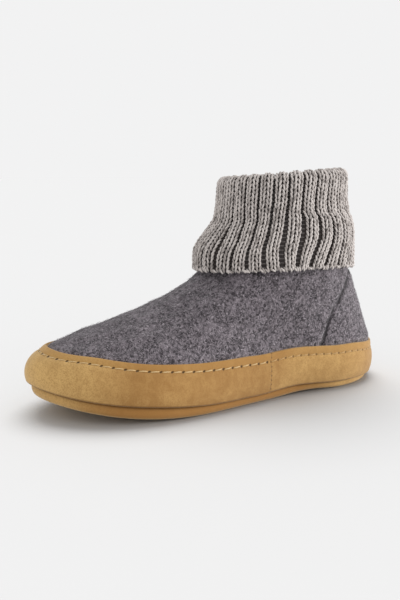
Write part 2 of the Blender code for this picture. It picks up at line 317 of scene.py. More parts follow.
def level(along, table):
    """Height at places along the boot, smooth between the rows of a table."""
    height = table[0].height
    for start, end in zip(table, table[1:]):
        height = height + (end.height - start.height) * ramp(along, start.along, end.along)
    return height


def sole_edge(along):
    return level(along, SOLE_EDGE)


def waist_arch(along):
    """How far the sole's underside clears the floor between heel and ball."""
    share = np.clip((along - WAIST_ALONG) / WAIST_HALF_LENGTH, -1, 1)
    return WAIST_ARCH * (1 - share**2) ** 2


def collar_height(along):
    return COLLAR_HEIGHT + COLLAR_RISE_TO_HEEL * (COLLAR_ALONG - along)


class Last:
    """The felt wall's outer face: curves that climb from the sole's edge to the collar."""

    FINE = 1600
    CURVE_STEPS = 80
    SHARE_BY_COLLAR = 0.2

    def __init__(self):
        rows = np.array([section[1:] for section in SECTIONS])
        ring = closed_curve(rows, self.FINE)[:-1]
        ring = np.roll(ring, -int(np.argmin(ring[:, 1])), axis=0)
        self.fine = np.concatenate([ring, ring[:1]])
        self.toe = int(np.argmax(ring[:, 1]))
        length = running_length(self.fine[:, :2])
        angle = np.unwrap(np.arctan2(self.fine[:, 0], COLLAR_ALONG - self.fine[:, 1]))
        turn = (angle - angle[0]) / (angle[-1] - angle[0])
        self.measure = (1 - self.SHARE_BY_COLLAR) * length / length[-1] + self.SHARE_BY_COLLAR * turn
        self.perimeter = length[-1]

    def share_at(self, along, outer):
        """The share around the boot where the sole's edge passes a place along it, on one side."""
        part = slice(self.toe, None) if outer else slice(0, self.toe + 1)
        step = -1 if outer else 1
        return np.interp(along, self.fine[part, 1][::step], self.measure[part][::step])

    def ladder(self, stations):
        """Shares around the boot for a slab: heel tip, inner side, toe tip and back by the outer side.

        The two sides have their points in pairs at the same places along the boot.
        """
        heel, toe = self.fine[0, 1], self.fine[self.toe, 1]
        turns = np.pi * np.arange(1, stations + 1) / (stations + 1)
        along = heel + (toe - heel) * (1 - np.cos(turns)) / 2
        inner = self.share_at(along, outer=False)
        outer = self.share_at(along, outer=True)
        return np.concatenate([[0.0], inner, [self.measure[self.toe]], outer[::-1]])

    def table(self, shares):
        """Section values at shares around the boot."""
        return np.stack([np.interp(shares % 1.0, self.measure, column) for column in self.fine.T], axis=1)

    def outline(self, shares, inset=0.0):
        """Side and along of the sole's edge line, moved in by a distance."""
        step = 1e-3
        run = unit(self.table(shares + step)[:, :2] - self.table(shares - step)[:, :2])
        outward = np.stack([-run[:, 1], run[:, 0]], axis=1)
        edge = self.table(shares)[:, :2] - inset * outward
        return edge[:, 0], edge[:, 1], outward

    def curves(self, shares):
        """Four control points for each climbing curve."""
        side, along, outward = self.outline(shares)
        rise, flare, drop, spread = self.table(shares)[:, 2:].T
        foot = place(side, along, sole_edge(along) + SEAM_GROOVE + toe_lift(along))
        lean = np.stack([outward[:, 0], -outward[:, 1], np.zeros_like(side)], axis=1)
        angle = np.arctan2(side, along - COLLAR_ALONG)
        radius = 1 / np.hypot(np.cos(angle) / COLLAR_HALF_LENGTH, np.sin(angle) / COLLAR_HALF_WIDTH)
        collar_along = COLLAR_ALONG + radius * np.cos(angle)
        collar = place(radius * np.sin(angle), collar_along, collar_height(collar_along))
        away = unit((foot - place(0.0, COLLAR_ALONG, 0.0)) * (1, 1, 0))
        low = foot + UP * rise[:, None] + lean * flare[:, None]
        high = collar - UP * drop[:, None] + away * spread[:, None]
        return foot, low, high, collar

    def wall(self, shares, climbs):
        """Points and distances up each climbing curve; climbs gives the distances from its length."""
        t = np.linspace(0, 1, self.CURVE_STEPS)[None, :, None]
        foot, low, high, collar = (control[:, None] for control in self.curves(shares))
        path = (1 - t) ** 3 * foot + 3 * (1 - t) ** 2 * t * low + 3 * (1 - t) * t**2 * high + t**3 * collar
        points, distances = [], []
        for column, curve in enumerate(path):
            length = running_length(curve)
            wanted = climbs(column, length[-1])
            points.append(sampled(wanted, length, curve))
            distances.append(wanted)
        return np.array(points), np.array(distances)

    def band_heights(self, shares):
        """Height of the band up the felt at each column."""
        return level(self.table(shares)[:, 1], BAND_HEIGHT)


LAST = Last()


def cuff_rings(shares, insets, angles):
    """Points as (column, row, xyz) on rings of the turned-down leg, moved in from the crests of the ribs."""
    knots = np.array([ring.share for ring in CUFF_RINGS])
    front, back, half_width = smooth_rows(knots, np.array([ring[2:] for ring in CUFF_RINGS]), shares).T
    half_length = (front - back) / 2 - insets
    towards_front = (1 + np.cos(angles)) / 2
    hem = HEM_BACK_HEIGHT + (HEM_FRONT_HEIGHT - HEM_BACK_HEIGHT) * towards_front
    hem = hem + HEM_SIDE_LIFT * np.sin(angles) ** 2
    rim = RIM_BACK_HEIGHT + (RIM_FRONT_HEIGHT - RIM_BACK_HEIGHT) * towards_front
    rim = rim + RIM_OUTER_SIDE_LIFT * np.sin(angles)
    along = (front + back) / 2 + half_length * np.cos(angles)
    return place((half_width - insets) * np.sin(angles), along, hem + (rim - hem) * shares)


class KnitSheet:
    """A layer of the knit at a depth under its outer face.

    Its rows run from the hem up the leg, over the fold and down to the collar. Angles start at the front.
    """

    LEG_ROWS = 56
    FOLD_ROWS = 10
    INNER_ROWS = 14
    SEAT_ROWS = 12

    # Valleys between the ribs, as shares of the pitch: they open towards the hem, most of all at the sides
    VALLEY_TOP = 0.12
    VALLEY_HEM = 0.05
    VALLEY_SIDE = 0.18
    VALLEY_SIDE_MIDDLE = math.radians(76)
    VALLEY_SIDE_SPREAD = math.radians(30)

    # Crease behind the ankle, and the kink of the ribs in it
    CREASE_START = math.radians(75)
    CREASE_FULL = math.radians(115)
    CREASE_SHARE = 0.60
    CREASE_HALF = 0.035
    CREASE_DEPTH = 0.0009
    KINK_SHIFT = 0.10
    KINK_HALF = 0.022
    KINK_REACH = 0.12

    # Where the ribs' lean passes from front to side and from side to back, and where it dies out behind
    FRONT_END = math.radians(25)
    SIDE_START = math.radians(65)
    BACK_START = math.radians(100)
    BACK_FADE = math.radians(140)

    def __init__(self, depth):
        self.depth = depth
        centre = SHEET_DEPTH + FOLD_RADIUS
        radius = centre - depth
        leg = np.linspace(0, 1, self.LEG_ROWS)
        turns = math.pi * np.arange(1, self.FOLD_ROWS) / self.FOLD_ROWS
        inner = np.linspace(1, INNER_LEG_FOOT, self.INNER_ROWS)
        self.shares = np.concatenate([leg, np.ones_like(turns), inner])
        across = np.concatenate([np.full_like(leg, -1.0), -np.cos(turns), np.ones_like(inner)])
        self.insets = centre + radius * across
        self.drops = np.concatenate([centre * leg, centre - radius * np.sin(turns), centre * inner])
        self.rows = len(self.shares) + self.SEAT_ROWS
        self.outer_share = np.ones(self.rows)
        self.outer_share[: self.LEG_ROWS] = leg
        self.fold = self.LEG_ROWS + self.FOLD_ROWS // 2

    def valley(self, angles):
        """Share of the pitch that the valleys take up."""
        aside = np.abs(turned(angles))
        side = self.VALLEY_SIDE * bell(aside - self.VALLEY_SIDE_MIDDLE, self.VALLEY_SIDE_SPREAD)
        return self.VALLEY_TOP + (self.VALLEY_HEM + side) * (1 - self.outer_share)

    def crease(self, angles):
        """How far the sheet sinks in behind the ankle."""
        behind = ramp(np.abs(turned(angles)), self.CREASE_START, self.CREASE_FULL)
        above = self.outer_share[: angles.shape[1]] - self.CREASE_SHARE
        return self.CREASE_DEPTH * behind * bell(above, self.CREASE_HALF)

    def sway(self, angles):
        """How far round the leg the ribs lean as they sag; the two sides mirror each other."""
        aside = np.abs(turned(angles))
        table = np.array(SWAY)
        front, side, back = smooth_rows(table[:, 0], table[:, 1:], self.outer_share).T
        past_front = ramp(aside, self.FRONT_END, self.SIDE_START)
        past_side = ramp(aside, self.SIDE_START, self.BACK_START)
        pitches = front + (side - front) * past_front + (back - side) * past_side
        above = self.outer_share - self.CREASE_SHARE
        kink = np.tanh(above / self.KINK_HALF) * bell(above, self.KINK_REACH)
        pitches = pitches - self.KINK_SHIFT * past_side * kink
        fade = ramp(aside, 0.0, self.FRONT_END) * ramp(aside, math.pi, self.BACK_FADE)
        return np.sign(turned(angles)) * fade * pitches * 2 * math.pi / RIB_COUNT

    def angles(self, ribs, across):
        """Angles as (column, row) for places across ribs: -1 to 1 on a crest and 1 to 3 in its valley."""
        middle = 2 * math.pi * (ribs[:, None] + RIB_PHASE) / RIB_COUNT * np.ones(self.rows)
        valley = self.valley(middle)
        on_crest = np.clip(across[:, None], -1, 1) * (1 - valley) / 2
        in_valley = np.clip(across[:, None] - 1, 0, None) * valley / 2
        angles = middle + 2 * math.pi * (on_crest + in_valley) / RIB_COUNT
        return angles + self.sway(angles)

    def points(self, angles):
        """Points as (column, row, xyz) for angles as (column, row)."""
        on_leg = angles[:, : len(self.shares)]
        leg = cuff_rings(self.shares, self.insets + self.crease(on_leg), on_leg) - self.drops[:, None] * UP
        last = angles[:, -1]
        inset = FELT_THICKNESS / 2 + SHEET_DEPTH - self.depth
        along = COLLAR_ALONG + (COLLAR_HALF_LENGTH - inset) * np.cos(last)
        seat = place((COLLAR_HALF_WIDTH - inset) * np.sin(last), along, collar_height(along) + CUFF_SEAT)
        blend = np.linspace(0, 1, self.SEAT_ROWS + 1)[1:, None]
        above = leg[:, -1:]
        return np.concatenate([leg, above + (seat[:, None] - above) * blend], axis=1)


def outward(grid, closed):
    """Unit normals of a grid, on the right of its columns; a closed grid repeats its first column."""
    if closed:
        around = np.concatenate([grid[1:], grid[1:2]]) - np.concatenate([grid[-2:-1], grid[:-1]])
    else:
        around = np.gradient(grid, axis=0)
    return unit(np.cross(around, np.gradient(grid, axis=1)))


def distance_to_line(places, line):
    """Distance of each place to the nearest point of a line through points."""
    nearest = np.full(places.shape[:-1], np.inf)
    for start, end in zip(line, line[1:]):
        run = end - start
        share = np.clip(((places - start) @ run) / (run @ run), 0, 1)
        nearest = np.minimum(nearest, np.linalg.norm(places - start - share[..., None] * run, axis=-1))
    return nearest


def grid_bmesh(points, surface, **layers):
    """A bmesh grid moved onto points given as (column, row, xyz), with a UV map; edges that meet are merged.

    Each layer is a number for every point, written to its vertex.
    """
    columns, rows = points.shape[:2]
    bm = bmesh.new()
    uv = bm.loops.layers.uv.new("surface")
    made = {name: bm.verts.layers.float.new(name) for name in layers}
    bmesh.ops.create_grid(bm, x_segments=columns - 1, y_segments=rows - 1, size=0.5)
    bm.verts.index_update()
    flat_uv = surface.transpose(1, 0, 2).reshape(-1, 2)
    for face in bm.faces:
        for loop in face.loops:
            loop[uv].uv = flat_uv[loop.vert.index]
    for name, values in layers.items():
        for vert, value in zip(bm.verts, np.broadcast_to(values, points.shape[:2]).T.reshape(-1)):
            vert[made[name]] = value
    for vert, point in zip(bm.verts, points.transpose(1, 0, 2).reshape(-1, 3)):
        vert.co = point
    bmesh.ops.remove_doubles(bm, verts=bm.verts, dist=MERGE)
    return bm


def linked_collection(name):
    """A new collection in the scene."""
    made = bpy.data.collections.new(name)
    bpy.context.scene.collection.children.link(made)
    return made


def pieces_collection():
    """The collection that holds the boot's pieces."""
    return bpy.data.collections.get(PIECES) or linked_collection(PIECES)


def finish_piece(name, mesh, material, replaces=()):
    """Put a mesh in the scene as a piece that rides on the boot."""
    mesh.materials.append(material)
    mesh.shade_smooth()
    piece = bpy.data.objects.new(name, mesh)
    pieces_collection().objects.link(piece)
    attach(piece, BODY)
    if replaces:
        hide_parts(*replaces)
    return piece


def piece_from_bmesh(name, bm, material, replaces=()):
    mesh = bpy.data.meshes.new(name)
    bm.to_mesh(mesh)
    bm.free()
    piece = finish_piece(name, mesh, material, replaces)
    mesh.set_sharp_from_angle(angle=SMOOTH_ANGLE)
    return piece


def thicken(piece, thickness, even):
    """Grow a wall inwards from a piece's surface."""
    wall = piece.modifiers.new("wall", "SOLIDIFY")
    wall.thickness = thickness
    wall.offset = -1.0
    wall.use_even_offset = even


def tubes_mesh(name, spines, across, out, radii, sides, shade):
    """Joined tubes with closed ends: spines as (tube, ring, xyz), with their width and depth directions."""
    tubes, rings = spines.shape[:2]
    turns = 2 * math.pi * np.arange(sides) / sides
    circle = np.cos(turns)[:, None] * across[:, :, None] + np.sin(turns)[:, None] * out[:, :, None]
    points = spines[:, :, None] + circle * radii[:, :, None, None]
    ring, side = np.meshgrid(np.arange(rings - 1), np.arange(sides), indexing="ij")
    beside = (side + 1) % sides
    near, far = ring * sides, (ring + 1) * sides
    walls = np.stack([near + side, near + beside, far + beside, far + side], axis=-1).reshape(-1, 4)
    start = np.arange(sides)[::-1]
    end = (rings - 1) * sides + np.arange(sides)
    first = np.arange(tubes) * rings * sides
    faces = (first[:, None, None] + walls).reshape(-1, 4).tolist()
    faces += (first[:, None] + start).tolist() + (first[:, None] + end).tolist()
    mesh = bpy.data.meshes.new(name)
    mesh.from_pydata(points.reshape(-1, 3).tolist(), [], faces)
    attribute = mesh.attributes.new("shade", "FLOAT", "POINT")
    attribute.data.foreach_set("value", np.repeat(shade, rings * sides).astype(np.float32))
    return mesh


def arithmetic(operation, reflected=False):
    """A method for an operator between sockets and numbers."""

    def method(self, other):
        values = (other, self) if reflected else (self, other)
        return self.finish.maths(operation, *values)

    return method


class Socket:
    """An output of a material's nodes; arithmetic on it adds Math nodes."""

    def __init__(self, finish, link):
        self.finish = finish
        self.link = link

    __add__ = arithmetic("ADD")
    __radd__ = arithmetic("ADD", reflected=True)
    __sub__ = arithmetic("SUBTRACT")
    __rsub__ = arithmetic("SUBTRACT", reflected=True)
    __mul__ = arithmetic("MULTIPLY")
    __rmul__ = arithmetic("MULTIPLY", reflected=True)
    __truediv__ = arithmetic("DIVIDE")

    def __abs__(self):
        return self.finish.maths("ABSOLUTE", self)


# A noise pattern: features a metre, or a fleck on the felt, its layers of detail and how far it is stirred
Pattern = namedtuple("Pattern", "scale detail roughness distortion", defaults=(2.0, 0.5, 0.0))

# A soft step from 0 at its start to 1 at its end, which may lie below the start
Step = namedtuple("Step", "start end")

# The bump of a material: how far its heights reach and how strongly they show
Relief = namedtuple("Relief", "reach strength")


class Finish:
    """A material under construction; sockets that are the same all over are set at the start."""

    NOISE_MIDDLE = 0.5

    def __init__(self, name, sockets):
        self.material = bpy.data.materials.new(name)
        self.material.use_nodes = True
        self.tree = self.material.node_tree
        self.shader = self.tree.nodes["Principled BSDF"]
        self.set_shader(sockets)

    def node(self, kind, settings=None, sockets=None, output=0):
        """A node of a kind, with its settings and then the values or links of its sockets."""
        made = self.tree.nodes.new(kind)
        for setting, value in (settings or {}).items():
            setattr(made, setting, value)
        for socket, value in (sockets or {}).items():
            self.feed(made.inputs[socket], value)
        return Socket(self, made.outputs[output])

    def feed(self, socket, value):
        if isinstance(value, Socket):
            self.tree.links.new(value.link, socket)
        elif socket.type == "RGBA":
            socket.default_value = (*value, 1.0)
        else:
            socket.default_value = value

    def set_shader(self, sockets):
        for socket, value in sockets.items():
            self.feed(self.shader.inputs[socket], value)

    def maths(self, operation, *values):
        return self.node("ShaderNodeMath", {"operation": operation}, dict(enumerate(values)))

    def place(self):
        """Object coordinates."""
        return self.node("ShaderNodeTexCoord", output="Object")

    def stretched(self, scale):
        """Object coordinates, scaled."""
        return self.node("ShaderNodeMapping", sockets={"Vector": self.place(), "Scale": scale})

    def surface(self):
        """The piece's UV map: along it and up it."""
        both = self.node("ShaderNodeUVMap", {"uv_map": "surface"})
        split = self.node("ShaderNodeSeparateXYZ", sockets={0: both})
        return split, Socket(self, split.link.node.outputs[1])

    def attribute(self, name):
        return self.node("ShaderNodeAttribute", {"attribute_name": name}, output="Fac")

    def noise(self, pattern, per_metre=1.0, vector=None):
        """A noise pattern on Object coordinates, or on a vector."""
        sockets = {
            "Vector": vector or self.place(),
            "Scale": pattern.scale * per_metre,
            "Detail": pattern.detail,
            "Roughness": pattern.roughness,
            "Distortion": pattern.distortion,
        }
        return self.node("ShaderNodeTexNoise", sockets=sockets, output="Fac")

    def swing(self, pattern, per_metre=1.0, vector=None):
        """A noise pattern that swings to both sides of 0."""
        return self.noise(pattern, per_metre, vector) - self.NOISE_MIDDLE

    def distance(self, first, second):
        """Length of the long side over two sides that meet at a right angle."""
        return self.maths("POWER", first * first + second * second, 0.5)

    def ease(self, value, step):
        sockets = {"Value": value, "From Min": step.start, "From Max": step.end}
        return self.node("ShaderNodeMapRange", {"interpolation_type": "SMOOTHSTEP"}, sockets)

    def mix(self, share, first, second):
        return self.node("ShaderNodeMix", {"data_type": "RGBA"}, {0: share, 6: first, 7: second}, output=2)

    def done(self, base, roughness, height=None, relief=None):
        """Link what changes over the surface to the shader and give the material."""
        sockets = {"Base Color": base, "Roughness": roughness}
        if relief:
            bump = {"Height": height, "Distance": relief.reach, "Strength": relief.strength}
            sockets["Normal"] = self.node("ShaderNodeBump", sockets=bump)
        self.set_shader(sockets)
        return self.material


def colour(name, description, default):
    return FloatVectorProperty(
        name=name, description=description, subtype="COLOR", size=3, min=0.0, max=1.0, default=default
    )


def length(name, description, default):
    return FloatProperty(
        name=name, description=description, unit="LENGTH", precision=5, min=0.0, default=default
    )


class FeltSettings(PropertyGroup):
    """Felt of the upper and the footbed."""

    dark: colour("Dark Fibres", "Colour of the darkest fibres", (0.032, 0.027, 0.031))
    light: colour("Light Fibres", "Colour of the light fibres", (0.218, 0.189, 0.208))
    strand: colour("Strands", "Colour of the palest curled strands", (0.375, 0.332, 0.360))
    # Seam: painted shade deep in the heel seam's trough
    seam: colour("Seam", "Colour deep in the heel seam", (0.016, 0.012, 0.015))
    fleck: length("Fleck", "Size of the light and dark flecks", 0.0019)
    seam_depth: length("Seam Depth", "How far the heel seam sinks in", 0.0011)
    seam_width: length("Seam Width", "Half the width of the heel seam's trough", 0.0023)
    hairs: IntProperty(name="Hairs", description="Loose fibres on the upper", min=0, default=14000)
    hair_length: length("Hair Length", "Length of a loose fibre", 0.0034)
    hair_radius: length("Hair Radius", "Radius of a loose fibre", 0.00006)


class SuedeSettings(PropertyGroup):
    """Suede of the band and the sole, and the thread in it."""

    tan: colour("Tan", "Middle colour of the band", (0.325, 0.170, 0.052))
    # Pale and Deep Nap: colours of brushed patches, which also carry the painted light and sheen of the pale
    # attribute
    pale: colour("Pale Nap", "Colour where the nap is brushed light", (0.620, 0.392, 0.147))
    deep: colour("Deep Nap", "Colour where the nap is brushed dark", (0.240, 0.118, 0.032))
    margin: colour("Margin", "Colour above the stitching", (0.385, 0.200, 0.056))
    sole: colour("Sole", "Middle colour of the sole's side", (0.350, 0.165, 0.043))
    # Groove: painted shade in the groove over the sole, along the band's lower edge and at the heel band's
    # ends
    groove: colour("Groove", "Colour deep in the groove over the sole", (0.150, 0.066, 0.018))
    # Worn Edge: painted highlight along the sole's lower edge
    highlit: colour("Worn Edge", "Colour of the sole's worn lower edge", (0.600, 0.410, 0.190))
    # Needle Hole: painted shade in the needle holes and pinholes
    hole: colour("Needle Hole", "Colour of the needle holes", (0.070, 0.036, 0.012))
    thread: colour("Thread", "Colour of the front band's thread", (0.640, 0.470, 0.235))
    heel_thread: colour("Heel Thread", "Colour of the heel band's thread", (0.500, 0.320, 0.130))
    stitch: length("Stitch", "Length of one running stitch on the front band", 0.0072)
    heel_stitch: length("Heel Stitch", "Length of one running stitch on the heel band", 0.0064)
    stitch_drop: length("Stitch Drop", "Stitch line below the band's top edge", 0.0056)
    stitch_slant: length("Stitch Slant", "How far each stitch climbs across the stitch line", 0.0006)
    thread_radius: length("Thread Radius", "Radius of the thread", 0.00040)
    bulge: length("Bulge", "How far the band swells below its stitching", 0.0008)
    pull: length("Pull", "How far the stitching pulls the suede in", 0.0006)
    pinhole: length("Pinhole Spacing", "Spacing of the pinholes beside the upright seams", 0.0030)


class KnitSettings(PropertyGroup):
    """Yarn and stitches of the cuff."""

    yarn: colour("Yarn", "Middle colour of the yarn", (0.612, 0.560, 0.530))
    yarn_dark: colour("Dark Yarn", "Colour of the darkest yarn", (0.298, 0.263, 0.245))
    # Shade, Valley and Purl: painted shade on the knit under the stitches and deep between the ribs, and
    # less of it on the purl bars
    shade: colour("Shade", "Colour of the knit behind the stitches", (0.050, 0.040, 0.036))
    valley: colour("Valley", "Colour deep between the ribs", (0.078, 0.068, 0.066))
    purl: colour("Purl", "Colour of the purl bars between the ribs", (0.300, 0.272, 0.260))
    course: length("Course", "Height of one row of stitches", 0.0028)
    yarn_radius: length("Yarn Radius", "Radius of the yarn across the knit", 0.00066)
    yarn_depth: length("Yarn Depth", "Radius of the yarn through the knit", 0.00062)


class StageSettings(PropertyGroup):
    """Floor, light and camera."""

    backdrop: colour("Backdrop", "Colour of the backdrop and the lit floor", (0.888, 0.888, 0.890))
    sky: FloatProperty(name="Sky", description="Strength of the light from all round", min=0.0, default=1.0)
    eye: FloatVectorProperty(
        name="Eye", description="Place of the camera", subtype="TRANSLATION", unit="LENGTH", size=3,
        default=(0.4335, -0.2403, 0.1486),
    )
    aim: FloatVectorProperty(
        name="Aim", description="Rotation of the camera", subtype="EULER", size=3,
        default=(math.radians(80.4), 0.0, math.radians(62.3)),
    )
    lens: FloatProperty(name="Lens", description="Focal length in millimetres", min=1.0, default=44.0)


# Felt: broad clouds, flecks and curled fibres, and the frayed and broken line of painted shade deep in the
# heel seam
FELT_SHADER = {"Specular IOR Level": 0.15, "Sheen Weight": 0.25, "Sheen Roughness": 0.5}
FELT_CLOUD = Pattern(105.0)
FELT_SPECK = Pattern(1.05, roughness=0.65, distortion=0.6)
FELT_GRAIN = Pattern(2.3, roughness=0.6)
FELT_CURL = Pattern(0.45, 1.0, 0.4, 1.8)
FELT_TUFT = Pattern(0.62, 1.0, 0.4, 1.5)
FELT_TONES = Step(0.35, 0.65)
CURL_WIDTH = Step(0.055, 0.0)
TUFT_WIDTH = Step(0.050, 0.0)
CURL_GAPS = Step(0.35, 0.65)
CLOUD_SHARE = 0.32
TUFT_SHARE = 0.55
SEAM_SHADE_WIDTH = Step(0.0030, 0.0006)
SEAM_SHADE_FRAY = 0.0030
SEAM_SHADE_STRETCHES = Pattern(170.0)
SEAM_SHADE_GAPS = Step(0.32, 0.52)
FELT_RELIEF = Relief(0.0007, 0.75)


def felt_material(name, felt):
    """Melange felt: light and dark flecks under short curled fibres, and painted shade in a frayed and
    broken line along the heel seam.
    """
    finish = Finish(name, FELT_SHADER)
    flecks = 1.0 / felt.fleck
    speck = finish.noise(FELT_SPECK, flecks)
    grain = finish.noise(FELT_GRAIN, flecks)
    curls = finish.ease(abs(finish.swing(FELT_CURL, flecks)), CURL_WIDTH)
    tufts = finish.ease(abs(finish.swing(FELT_TUFT, flecks)), TUFT_WIDTH)
    tone = finish.ease(speck + CLOUD_SHARE * finish.swing(FELT_CLOUD), FELT_TONES)
    base = finish.mix(tone, felt.dark, felt.light)
    base = finish.mix(tufts * TUFT_SHARE, base, felt.dark)
    base = finish.mix(curls * finish.ease(grain, CURL_GAPS), base, felt.strand)
    # Painted shade along the heel seam, frayed at its edges and broken into stretches
    frayed = finish.attribute("seam") + SEAM_SHADE_FRAY * (speck - finish.NOISE_MIDDLE)
    broken = finish.ease(finish.noise(SEAM_SHADE_STRETCHES), SEAM_SHADE_GAPS)
    base = finish.mix(finish.ease(frayed, SEAM_SHADE_WIDTH) * broken, base, felt.seam)
    height = speck + 0.5 * grain + 0.45 * curls
    return finish.done(base, 0.88 + 0.1 * grain, height, FELT_RELIEF)


def hair_material(name, felt):
    """Loose fibres, each of one tone."""
    finish = Finish(name, {"Specular IOR Level": 0.1})
    shade = finish.attribute("shade")
    return finish.done(finish.mix(shade, felt.dark, felt.strand), 0.85 + 0.1 * shade)


# Suede: broad places where the nap lies lighter, faint upright strokes, mottling and a fine grain
SUEDE_SHADER = {
    "Specular IOR Level": 0.2,
    "Sheen Weight": 0.40,
    "Sheen Roughness": 0.45,
    "Sheen Tint": (1.0, 0.86, 0.62),
}
SUEDE_PATCH = Pattern(26.0, distortion=0.3)
SUEDE_BRUSH = Pattern(1.0)
BRUSH_STRETCH = (240.0, 240.0, 40.0)
SUEDE_MOTTLE = Pattern(130.0, 3.0, 0.55, 0.6)
SUEDE_NAP = Pattern(1500.0, roughness=0.6)
SUEDE_PORE = Pattern(620.0)
PATCH_SHARE = 0.9
BRUSH_SHARE = 0.35
MOTTLE_SHARE = 0.75
GRAIN_STEP = Step(0.78, 0.55)
GRAIN_SHARE = 0.40
SUEDE_RELIEF = Relief(0.00025, 0.6)

# Marks on the band, by distances on it: painted shade in needle holes and pinholes, the margin, and painted
# shade along its lower edge and the heel band's ends
HOLE_SHADE_EDGE = Step(0.00110, 0.00055)
PIN_SHADE_EDGE = Step(0.0007, 0.0003)
PIN_INSET = 0.0006
PIN_SHADE_SHARE = 0.6
MARK_SHADE_SHARE = 0.95
MARK_DEPTH = 3.0
MARGIN_FADE = 0.001
MARGIN_SHARE = 0.5
BAND_FOOT_SHADE = Step(0.0016, 0.0003)
BAND_FOOT_SHADE_SHARE = 0.75
BAND_END_SHADE = Step(0.0013, 0.0002)
BAND_END_SHADE_SHARE = 0.35

# Tones of the sole: its own colour, which gives way where painted light makes it pale, and by shares of its
# height, painted shade under the groove and a painted highlight on its lower edge
SOLE_SHARE = 0.75
SOLE_SHARE_LOST = 0.6
SOLE_GROOVE_SHADE = Step(0.76, 0.96)
SOLE_GROOVE_SHADE_SHARE = 0.85
SOLE_HIGHLIGHT = Step(0.24, 0.04)
SOLE_HIGHLIGHT_SHARE = 0.65


class Suede(Finish):
    """Brushed suede with the colour, nap and height of its grain, and painted light and sheen where its pale
    attribute is set.
    """

    def __init__(self, name, suede):
        super().__init__(name, SUEDE_SHADER)
        patch = self.swing(SUEDE_PATCH)
        brush = self.swing(SUEDE_BRUSH, vector=self.stretched(BRUSH_STRETCH))
        mottle = self.swing(SUEDE_MOTTLE)
        pore = self.noise(SUEDE_PORE)
        self.nap = self.noise(SUEDE_NAP)
        self.pale = self.attribute("pale")
        # How pale the suede turns: painted light and sheen from the pale attribute, and random brushed
        # patches, strokes and mottling
        light = self.pale + PATCH_SHARE * patch + BRUSH_SHARE * brush + MOTTLE_SHARE * mottle
        base = self.mix(light, suede.tan, suede.pale)
        base = self.mix(-1.0 * light, base, suede.deep)
        self.base = self.mix(self.ease(self.nap + 0.4 * pore, GRAIN_STEP) * GRAIN_SHARE, base, suede.deep)
        self.height = 0.6 * self.nap + pore

    def tint(self, share, shade):
        """Lay a colour over the suede."""
        self.base = self.mix(share, self.base, shade)

    def brushed(self):
        """Give the material."""
        return self.done(self.base, 0.78 + 0.15 * self.nap, self.height, SUEDE_RELIEF)


def band_material(name, suede):
    """Suede with a margin above its stitching, painted shade in needle holes and in pinholes beside the
    upright seams, and painted shade along its lower edge and the heel band's ends.
    """
    finish = Suede(name, suede)
    along, up = finish.surface()
    drop, end = finish.attribute("drop"), finish.attribute("end")
    to_hole = finish.maths("PINGPONG", along, 0.5) * suede.stitch
    hole = finish.ease(finish.distance(to_hole, drop - suede.stitch_drop), HOLE_SHADE_EDGE)
    to_pin = finish.maths("PINGPONG", up, suede.pinhole / 2)
    pin = finish.ease(finish.distance(to_pin, end - PIN_INSET), PIN_SHADE_EDGE)
    marks = finish.maths("MAXIMUM", hole * finish.attribute("hole"), pin * PIN_SHADE_SHARE)
    margin = Step(suede.stitch_drop, suede.stitch_drop - MARGIN_FADE)
    finish.tint(finish.ease(drop, margin) * MARGIN_SHARE, suede.margin)
    # Painted shade along the band's lower edge by the groove, and at the heel band's ends by the upright
    # seam
    finish.tint(finish.ease(up, BAND_FOOT_SHADE) * BAND_FOOT_SHADE_SHARE, suede.groove)
    finish.tint(finish.ease(end, BAND_END_SHADE) * BAND_END_SHADE_SHARE, suede.groove)
    # Painted shade in the needle holes and pinholes, which the bump also sinks
    finish.tint(marks * MARK_SHADE_SHARE, suede.hole)
    finish.height = finish.height - MARK_DEPTH * marks
    return finish.brushed()


def sole_material(name, suede):
    """Darker suede, with painted shade under the groove along its top, a painted highlight along its lower
    edge and painted light and sheen towards its toe and heel.
    """
    finish = Suede(name, suede)
    rim = finish.attribute("rim")
    # The sole's own colour gives way where painted light and sheen make it pale
    finish.tint(SOLE_SHARE - SOLE_SHARE_LOST * finish.pale, suede.sole)
    # Painted shade under the groove along the sole's top
    finish.tint(finish.ease(rim, SOLE_GROOVE_SHADE) * SOLE_GROOVE_SHADE_SHARE, suede.groove)
    # Painted highlight along the sole's lower edge
    finish.tint(finish.ease(rim, SOLE_HIGHLIGHT) * SOLE_HIGHLIGHT_SHARE, suede.highlit)
    return finish.brushed()


# Thread, yarn and the knit behind it: fibres, and the bars of the purl rows, and painted shade on the knit
# behind
THREAD_SHADER = {"Specular IOR Level": 0.3, "Sheen Weight": 0.2}
THREAD_FIBRE = Pattern(2200.0, roughness=0.6)
THREAD_TONES = Step(0.62, 0.35)
THREAD_TAN = 0.4
THREAD_RELIEF = Relief(0.0002, 0.6)
YARN_SHADER = {"Specular IOR Level": 0.15, "Sheen Weight": 0.4, "Sheen Roughness": 0.5}
YARN_FIBRE = Pattern(1700.0, roughness=0.6, distortion=0.5)
YARN_TONES = Step(0.72, 0.30)
YARN_RELIEF = Relief(0.0004, 0.7)
GROUND_SHADER = {"Specular IOR Level": 0.1}
GROUND_FIBRE = Pattern(1500.0, roughness=0.6)
PURL_BAR = Step(0.75, 1.3)
GROUND_SHADE_UNDER_STITCHES = Step(0.75, 0.35)
GROUND_RELIEF = Relief(0.0006, 0.8)


def thread_material(name, thread, suede):
    """Twisted cotton thread."""
    finish = Finish(name, THREAD_SHADER)
    fibre = finish.noise(THREAD_FIBRE)
    base = finish.mix(finish.ease(fibre, THREAD_TONES) * THREAD_TAN, thread, suede.tan)
    return finish.done(base, 0.7 + 0.1 * fibre, fibre, THREAD_RELIEF)


